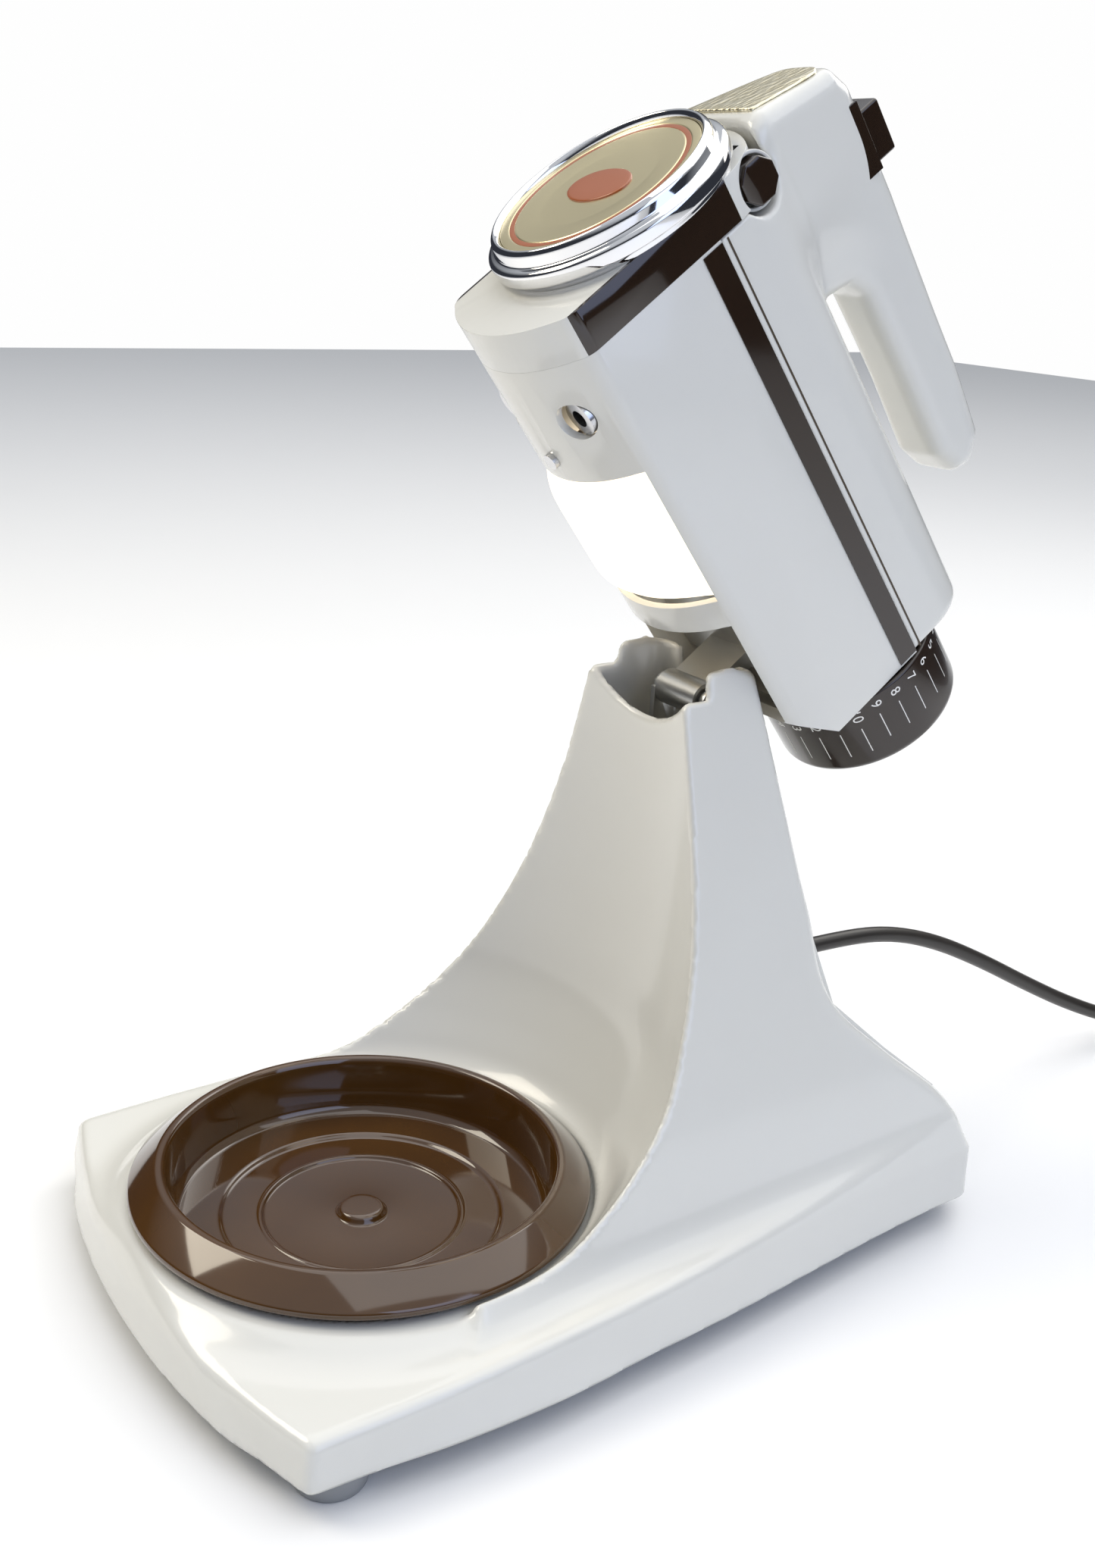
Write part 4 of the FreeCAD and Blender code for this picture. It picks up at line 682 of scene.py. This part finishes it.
# ---------------------------------------------------------------- the head
@dataclass
class Head:
    """The motor head: two housing halves, the nose, and the handle grown out of the upper half."""
    half_width: float = 36.0
    seam: float = 76.4
    crown: float = 115.5
    behind: float = -37.0
    ahead: float = 150.0
    wall: float = 2.5
    spindle_ahead: float = 128.7
    axis: float = 66.4
    knob_ahead: float = 155.0
    knob_above: float = 101.0
    knob_pocket_radius: float = 11.0
    knob_pocket_inner: float = 3.0
    front_ahead: float = 169.0
    front_foot: float = 119.0
    front_lean: float = 0.237
    front_cosine: float = 0.973
    handle_foot: float = 100.0
    hollow_ahead: float = 138.0
    pocket_half_width: float = 12.4
    pocket_half_length: float = 10.4
    pocket_floor: float = 138.0
    pocket_top: float = 220.0
    rod_radius: float = 3.0
    rod_foot: float = 90.0
    step: float = 1.45

    def top_section(self, x: Array, u: Array) -> Array:
        """The crowned upper section: flat flanks that ease into a shallow roof."""
        flank = np.abs(x) - self.half_width + 0.03 * (u - self.seam)
        roof = u - (self.crown - x * x / 190)
        return soft_max(flank, roof, 17.0)

    def grip(self, x: Array, a: Array, u: Array) -> Array:
        """The open-ended handle: a rounded side outline with a width that swells at the front."""
        points = ((158, 100), (164, 119), (155, 157), (148, 161), (105, 162), (30, 160), (2, 157), (-4, 151),
                  (-3, 147), (6, 143.5), (40, 144), (82, 143), (93, 136), (96, 122), (90, 100))
        side = outline(a, u, points) - 5.0
        swell = ramp(a, 84.0, 135.0) * np.clip((168.0 - u) / 52.0, 0.0, 1.0)
        tip = ramp(-a, -60.0, 6.0)
        width = np.abs(x) - (12.6 + 14.5 * swell + 1.2 * tip)
        return soft_max(side, width * 0.95, 8.0)

    def upper(self, x: Array, y: Array, z: Array) -> Array:
        """The upper half: roof and handle in one moulding, less the nose and two wells."""
        a, u = -y, z
        section = self.top_section(x, u)
        roof = soft_max(soft_max(section, self.behind - a, 4.0), a - self.ahead, 0.6)
        front = (a - self.front_ahead + self.front_lean * (u - self.front_foot)) * self.front_cosine
        handle = soft_max(np.maximum(self.grip(x, a, u), self.handle_foot - u), front, 1.0)
        solid = soft_min(roof, handle, 9.0)
        solid = np.maximum(solid, front)
        inside = np.maximum(a - self.hollow_ahead, self.behind + self.wall - a)
        hollow = np.maximum(section + self.wall, inside)
        solid = soft_max(solid, -hollow, 0.8)
        nose_space = np.maximum(self.ahead - a, section - 0.3)
        solid = soft_max(solid, -nose_space, 0.6)
        centre = self.spindle_ahead
        half, reach = self.pocket_half_width, self.pocket_half_length
        pocket = brick(x, a, u, (-half, centre - reach, self.pocket_floor),
                       (half, centre + reach, self.pocket_top))
        rod = np.maximum(np.hypot(x, a - centre) - self.rod_radius, self.rod_foot - u)
        solid = soft_max(soft_max(solid, -pocket, 0.8), -rod, 0.5)
        solid = soft_max(solid, -self.knob_pocket(x, a, u), 1.4)
        return soft_max(solid, self.seam + 0.15 - u, 0.6)

    def knob_pocket(self, x: Array, a: Array, u: Array) -> Array:
        """The round notch in the right flank for the knob."""
        round_off = np.hypot(a - self.knob_ahead, u - self.knob_above) - self.knob_pocket_radius
        return np.maximum(round_off, self.knob_pocket_inner - x)

    def build(self) -> None:
        """Make the housings and dress everything that rides on the head."""
        piece = skin("upper_moulding", self.upper, (-40.0, -172.0, 74.0), (40.0, 41.0, 171.0), self.step,
                     head_to_frame)
        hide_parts("upper_housing", "handle")
        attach(piece, "head")
        dress(piece, CREAM)
        for node, width in (("lower_housing", 0.9), ("nose_cover", 0.8)):
            dress(softened(node, width, steps=3), CREAM)
        for hand in ("left", "right"):
            dress(softened(f"nose_trim_{hand}", 0.5), TRIM)
        dress(softened("ejector_label", 0.4), TRIM)
        self.pinstripes()
        self.build_lens()

    def pinstripes(self) -> None:
        """A thin dark line above each stripe: a flat bar along the head, x by height by length."""
        line = Finish("dark_pin_line", (0.05, 0.035, 0.02), 0.4, tint=(0.08, 0.055, 0.03), relief=0.01)
        across, along, up = (35.4, 36.15), (-36.0, 149.0), (78.9, 79.6)
        corners = np.array([(x, a, u) for x in across for a in along for u in up], float)
        faces = [(0, 1, 3, 2), (4, 6, 7, 5), (0, 4, 5, 1), (2, 3, 7, 6), (0, 2, 6, 4), (1, 5, 7, 3)]
        for name, side in (("left", -1.0), ("right", 1.0)):
            points = np.stack([corners[:, 0] * side, -corners[:, 1], corners[:, 2]], axis=1)
            piece = new_object(f"pin_line_{name}", head_to_frame(points), faces, smooth=False)
            close_poles(piece)
            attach(piece, "head")
            dress(piece, line)

    def build_lens(self) -> None:
        """The lamp's lens: u falls from its edges by a bulge that is full in the middle."""
        half, start, end, edge, drop = 32.6, 45.4, 103.6, 16.5, 17.6
        count = 61
        s, t = np.meshgrid(np.linspace(-1, 1, count), np.linspace(-1, 1, count), indexing="ij")
        bulge = (1 - np.abs(s) ** 2.6) ** 0.8 * (1 - np.abs(t) ** 7) ** 0.7
        x, a = s * half, start + (t + 1) / 2 * (end - start)
        outer = np.stack([x, -a, edge - drop * bulge], axis=-1)
        inner = np.stack([x * 0.97, -(a * 0.97 + 2.2), edge + 2.2 - drop * bulge * 0.95], axis=-1)
        points = np.concatenate([outer.reshape(-1, 3), inner.reshape(-1, 3)])
        piece = new_object("lamp_lens", head_to_frame(points), sheet_faces(count, count))
        close_poles(piece)
        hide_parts("light_lens")
        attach(piece, "head")
        dress(piece, LENS)


# ---------------------------------------------------------------- cap and dial on the motor's axis
def motor_axis(points: Array) -> Array:
    """Points turned about Z, with z as the distance ahead, put on the motor's axis in the head."""
    x, y, z = points.T
    return head_to_frame(np.stack([x, -z, y + Head.axis], axis=1))


@dataclass
class Cap:
    """The round cap of the nose: a stepped chrome ring round a shallow brushed disc."""
    base: float = 165.0
    ring_radius: float = 44.5
    inner_radius: float = 37.5
    depth: float = 14.0

    def build(self) -> None:
        """Turn the ring, the disc and its painted ring, and add the plain oval."""
        b, d, r, i = self.base, self.depth, self.ring_radius, self.inner_radius
        ring = [(i, b), (r - 3, b), (r - 3, b + 2), (r, b + 3), (r, b + 7.4), (r - 1.2, b + 8.4),
                (r - 3.4, b + 8.8), (r - 3.6, b + 12.4), (r - 5, b + d), (i + 1.2, b + d), (i, b + d - 1.6)]
        self.turn("cap_chrome", ring, "cap_ring", CHROME, "chrome_trim", 0.7)
        face = b + d
        disc = [(0, face - 5), (i - 0.1, face - 5), (i - 0.1, face - 1.9), (i - 3.4, face - 1.9),
                (i - 3.8, face - 2.2), (i - 5.6, face - 2.2), (i - 6.0, face - 1.9), (22, face - 2.4),
                (0, face - 2.6)]
        self.turn("cap_face", disc, "cap_disc", DISC, "brass_disc", 0.4)
        low, high = face - 2.25, face - 2.05
        band = [(i - 5.6, low), (i - 3.8, low), (i - 3.8, high), (i - 5.6, high)]
        self.turn("cap_orange_ring", band, None, ORANGE, "brass_disc", 0.05)
        self.emblem(face - 2.45)

    def turn(self, name: str, profile: list[tuple[float, float]], node: str | None, finish: Finish, slot: str,
             ease: float) -> None:
        """Turn one profile about the motor's axis and dress it."""
        points, faces = turned(eased(profile, ease), 160)
        piece = new_object(name, motor_axis(points), faces)
        close_poles(piece)
        if node:
            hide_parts(node)
        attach(piece, "head")
        dress(piece, finish)

    def emblem(self, level: float) -> None:
        """A plain raised oval in the middle of the disc: radius scaled 15.5 across by 9 up."""
        t = np.linspace(0, 2 * np.pi, 72, endpoint=False)
        shares = np.array([0.0, 0.5, 0.9, 0.97, 1.0, 1.0])
        heights = np.array([0.62, 0.62, 0.60, 0.5, 0.3, -0.3])
        x = np.outer(np.cos(t), shares * 15.5)
        y = np.outer(np.sin(t), shares * 9.0)
        z = np.broadcast_to(heights + level, x.shape)
        points = np.stack([x, y, z], axis=-1).reshape(-1, 3)
        piece = new_object("cap_oval", motor_axis(points), grid_faces(72, 6, True, False))
        close_poles(piece)
        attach(piece, "head")
        dress(piece, ORANGE)


@dataclass
class SpeedDial:
    """The speed dial behind the head: a round drum with printed numbers."""
    radius: float = 38.0
    front: float = -37.6
    back: float = -70.6
    numbers: int = 14
    text_size: float = 6.2
    text_middle: float = 2.1
    text_from: float = 3.0
    text_lift: float = 0.05
    angle_at_five: float = 30.0
    angle_step: float = 13.5

    def build(self) -> None:
        """Turn the drum and wrap its numbers round it."""
        r, f, b = self.radius, self.front, self.back
        drum = [(0, b), (r - 1.6, b), (r, b + 2.2), (r, f), (r - 2.6, f),
                (r - 2.6, b + 4.6), (9, b + 4.1), (9, f - 7), (4, f - 7), (4, b + 6.6), (0, b + 6.6)]
        points, faces = turned(eased(drum, 1.2), 180)
        piece = new_object("dial_drum", motor_axis(points), faces)
        close_poles(piece)
        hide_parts("speed_dial")
        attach(piece, "dial")
        dress(piece, DIAL)
        self.print_numbers()

    def print_numbers(self) -> None:
        """Wrap numbers and short bars on the drum: x along the text turns about the axis."""
        for number in range(1, self.numbers + 1):
            curve = bpy.data.curves.new(f"number_{number}", "FONT")
            curve.body, curve.size = str(number) + "  " + "\u2013" * 4, self.text_size
            text = bpy.data.objects.new(f"dial_text_{number}", curve)
            bpy.context.scene.collection.objects.link(text)
            depsgraph = bpy.context.evaluated_depsgraph_get()
            mesh = bpy.data.meshes.new_from_object(text.evaluated_get(depsgraph))
            flat = np.zeros(len(mesh.vertices) * 3)
            mesh.vertices.foreach_get("co", flat)
            flat = flat.reshape(-1, 3)
            bpy.data.objects.remove(text)
            centre = math.radians(self.angle_at_five - self.angle_step * (number - 5))
            angle = centre + (flat[:, 1] - self.text_middle) / self.radius
            along = self.front - self.text_from - flat[:, 0]
            radius = self.radius + self.text_lift
            points = np.stack([radius * np.cos(angle), radius * np.sin(angle), along], axis=1)
            world = motor_axis(points)
            mesh.vertices.foreach_set("co", world.ravel())
            piece = bpy.data.objects.new(f"dial_number_{number}", mesh)
            bpy.context.scene.collection.objects.link(piece)
            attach(piece, "dial")
            dress(piece, WHITE_PRINT)


# ---------------------------------------------------------------- knob and ejector
@dataclass
class Controls:
    """The chrome nose knob, the ejector's button, and the grained plate on the handle."""
    plate_foot: float = 119.0
    plate_top: float = 158.2
    plate_foot_half: float = 19.0
    plate_top_half: float = 12.0
    plate_face: float = 169.9
    plate_thickness: float = 1.6

    def build(self) -> None:
        """Make and dress the knob, its cap and collar, the button and the front plate."""
        dress(softened("nose_knob", 0.9, steps=3), CHROME)
        dress(softened("nose_knob_cap", 0.7, steps=3), TRIM)
        dress(softened("nose_knob_collar", 0.4), CREAM)
        dress(softened("ejector_button", 1.1, steps=3), TRIM)
        self.front_plate()

    def front_plate(self) -> None:
        """The grained plate: a tapering sheet that leans back up the handle's front."""
        rows, columns = 41, 31
        s, t = np.meshgrid(np.linspace(-1, 1, rows), np.linspace(0, 1, columns), indexing="ij")
        above = self.plate_foot + t * (self.plate_top - self.plate_foot) - 5.0 * np.abs(s) ** 4 * t ** 4
        half = self.plate_foot_half + (self.plate_top_half - self.plate_foot_half) * t
        ahead = self.plate_face - Head.front_lean * (above - Head.front_foot) - 0.3 * np.abs(s) ** 6
        outer = np.stack([s * half, -ahead, above], axis=-1).reshape(-1, 3)
        inner = outer + np.array([0.0, self.plate_thickness, 0.0])
        points = np.concatenate([outer, inner])
        piece = new_object("handle_grained_plate", head_to_frame(points), sheet_faces(rows, columns))
        close_poles(piece)
        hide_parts("handle_front_plate")
        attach(piece, "head")
        dress(piece, GRAINED_PLATE_WITH_PAINTED_GLINTS)


# ---------------------------------------------------------------- the lead
@dataclass
class Lead:
    """The mains lead: its free route, the put-away coil and its plug."""
    width: float = 7.0
    route: tuple[tuple[float, float, float], ...] = (
        (0, 284, 90), (0, 308, 90), (0.5, 336, 87), (1, 366, 77), (2, 398, 61), (3, 430, 43),
        (5, 462, 26), (8, 494, 12), (13, 524, 4.5), (20, 552, 3.6), (24, 580, 3.6))
    coil_centre: tuple[float, float] = (66.9, 587.0)
    coil_middle: float = 38.5
    turns_per_layer: int = 2
    layers: int = 3
    points_per_turn: int = 16

    def coil(self) -> list[tuple[float, float, float]]:
        """Points of the wound turns, 16 to a turn: outer and inner turn of each layer in turn."""
        points = []
        start = math.atan2(self.route[-1][1] - self.coil_centre[1], self.route[-1][0] - self.coil_centre[0])
        total = self.turns_per_layer * self.layers
        steps = self.points_per_turn
        for index in range(2, total * steps - 2):
            turn = index / steps
            angle = start - 2 * math.pi * turn
            layer = min(int(turn / 2), self.layers - 1)
            inward = turn - 2 * layer
            share = min(max(inward - 0.5, 0.0), 1.0)
            side = share if layer % 2 == 0 else 1 - share
            radius = self.coil_middle + self.width * (0.5 - side)
            height = self.width * (layer + 0.5) + 0.15
            lift = max(0.0, inward - 1.85) / 0.15 * self.width if layer < self.layers - 1 else 0.0
            points.append((self.coil_centre[0] + radius * math.cos(angle),
                           self.coil_centre[1] + radius * math.sin(angle), height + lift * 0.5))
        return points

    def build(self) -> None:
        """Lay the lead as one smooth spline and dress its plug."""
        places = stand_to_frame(np.array(list(self.route) + self.coil(), float))
        curve = bpy.data.curves.new("mains_lead", "CURVE")
        curve.dimensions = "3D"
        spline = curve.splines.new("NURBS")
        spline.points.add(len(places) - 1)
        flat = np.concatenate([places, np.ones((len(places), 1))], axis=1)
        spline.points.foreach_set("co", flat.ravel())
        spline.order_u = 3
        spline.use_endpoint_u = True
        spline.resolution_u = 6
        spline.points.foreach_set("radius", [self.width / 2 * MM] * len(places))
        curve.bevel_depth = 1.0
        curve.bevel_resolution = 4
        piece = bpy.data.objects.new("mains_lead", curve)
        bpy.context.scene.collection.objects.link(piece)
        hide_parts("power_cord", "cord_coil")
        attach(piece, "stand")
        curve.materials.append(LEAD.material())
        plug = dress(softened("mains_plug", 1.0), LEAD)


# ---------------------------------------------------------------- stage
@dataclass
class Studio:
    """A pale floor, soft lights and the camera."""
    camera_place: tuple[float, float, float] = (479.093, -174.436, 379.981)
    turn: float = 56.098
    pitch: float = 18.755
    roll: float = 3.107
    lens: float = 37.91

    def build(self) -> None:
        """Add floor, lights, world and camera."""
        corners = np.array([(-4, -4, 0), (4, -4, 0), (4, 4, 0), (-4, 4, 0)], float)
        floor = new_object("floor", corners, [(0, 1, 2, 3)])
        floor.data.materials.append(Finish("pale_floor", (0.86, 0.86, 0.86), 0.6, relief=0.01).material())
        world = bpy.context.scene.world or bpy.data.worlds.new("studio")
        bpy.context.scene.world = world
        world.use_nodes = True
        self.surroundings(world.node_tree)
        world.node_tree.nodes["Background"].inputs["Strength"].default_value = 0.62
        bpy.context.scene.view_settings.view_transform = "Standard"
        self.light("key", (-0.75, -1.05, 1.35), 0.8, 13, (1.0, 0.92, 0.76))
        self.light("fill", (1.5, 0.1, 0.9), 1.2, 8, (0.58, 0.69, 1.0))
        self.light("rear", (-0.4, 1.4, 1.3), 0.9, 6, (1.0, 0.96, 0.9))
        self.light("overhead", (0.0, 0.8, 3.0), 4.5, 75, (1.0, 0.99, 0.97))
        self.camera()

    @staticmethod
    def surroundings(tree: bpy.types.NodeTree) -> None:
        """A bright ceiling over dark walls for what the gloss mirrors, and a white backdrop behind."""
        place = tree.nodes.new("ShaderNodeTexCoord")
        split = tree.nodes.new("ShaderNodeSeparateXYZ")
        walls = tree.nodes.new("ShaderNodeValToRGB")
        dark, bright = walls.color_ramp.elements
        dark.position, dark.color = 0.30, (0.05, 0.055, 0.07, 1)
        bright.position, bright.color = 0.62, (0.90, 0.94, 1.0, 1)
        path = tree.nodes.new("ShaderNodeLightPath")
        mix = tree.nodes.new("ShaderNodeMix")
        mix.data_type = "RGBA"
        mix.inputs["B"].default_value = (1.6, 1.6, 1.6, 1)
        tree.links.new(place.outputs["Generated"], split.inputs["Vector"])
        tree.links.new(split.outputs["Z"], walls.inputs["Fac"])
        tree.links.new(walls.outputs["Color"], mix.inputs["A"])
        tree.links.new(path.outputs["Is Camera Ray"], mix.inputs["Factor"])
        tree.links.new(mix.outputs["Result"], tree.nodes["Background"].inputs["Color"])

    def light(self, name: str, place: tuple[float, float, float], side: float, power: float,
              colour: tuple[float, float, float]) -> None:
        """A square soft light that points at the mixer's middle."""
        lamp = bpy.data.lights.new(name, "AREA")
        lamp.size, lamp.energy, lamp.color = side, power, colour
        holder = bpy.data.objects.new(name, lamp)
        holder.location = place
        aim = Vector((0.0, 0.0, 0.2)) - Vector(place)
        holder.rotation_euler = aim.to_track_quat("-Z", "Y").to_euler()
        bpy.context.scene.collection.objects.link(holder)

    def camera(self) -> None:
        """The camera from its place, turn, pitch and roll."""
        turn, pitch, roll = (math.radians(v) for v in (self.turn, self.pitch, self.roll))
        level = math.cos(pitch)
        forward = Vector((-math.sin(turn) * level, math.cos(turn) * level, -math.sin(pitch)))
        right = Vector((math.cos(turn), math.sin(turn), 0.0))
        up = right.cross(forward)
        rolled_right = right * math.cos(roll) + up * math.sin(roll)
        rolled_up = up * math.cos(roll) - right * math.sin(roll)
        data = bpy.data.cameras.new("view")
        data.lens, data.sensor_width, data.sensor_fit = self.lens, 36.0, "AUTO"
        holder = bpy.data.objects.new("view", data)
        place = stand_to_frame(np.array([self.camera_place]))[0]
        holder.matrix_world = Matrix((rolled_right, rolled_up, -forward)).transposed().to_4x4()
        holder.location = place
        bpy.context.scene.collection.objects.link(holder)
        bpy.context.scene.camera = holder


def dress_cad_nodes() -> None:
    """Give every CAD node that still shows the finish of its slot."""
    slots = {entry["node"]: entry["material_slot"] for entry in frame["record"]["subparts"]}
    for name, node in frame["nodes"].items():
        node.data.materials.clear()
        node.data.materials.append(SLOT_FINISH[slots[name]].material())


def main() -> None:
    """Build every sub-assembly in turn."""
    logging.basicConfig(level=logging.INFO, format="%(name)s %(message)s")
    dress_cad_nodes()
    Studio().build()
    for assembly in (Lead(), Stand(), BowlPlate(), Head(), Cap(), SpeedDial(), Controls()):
        assembly.build()
        LOG.info("built %s", type(assembly).__name__)


if __name__ == "__main__":
    main()
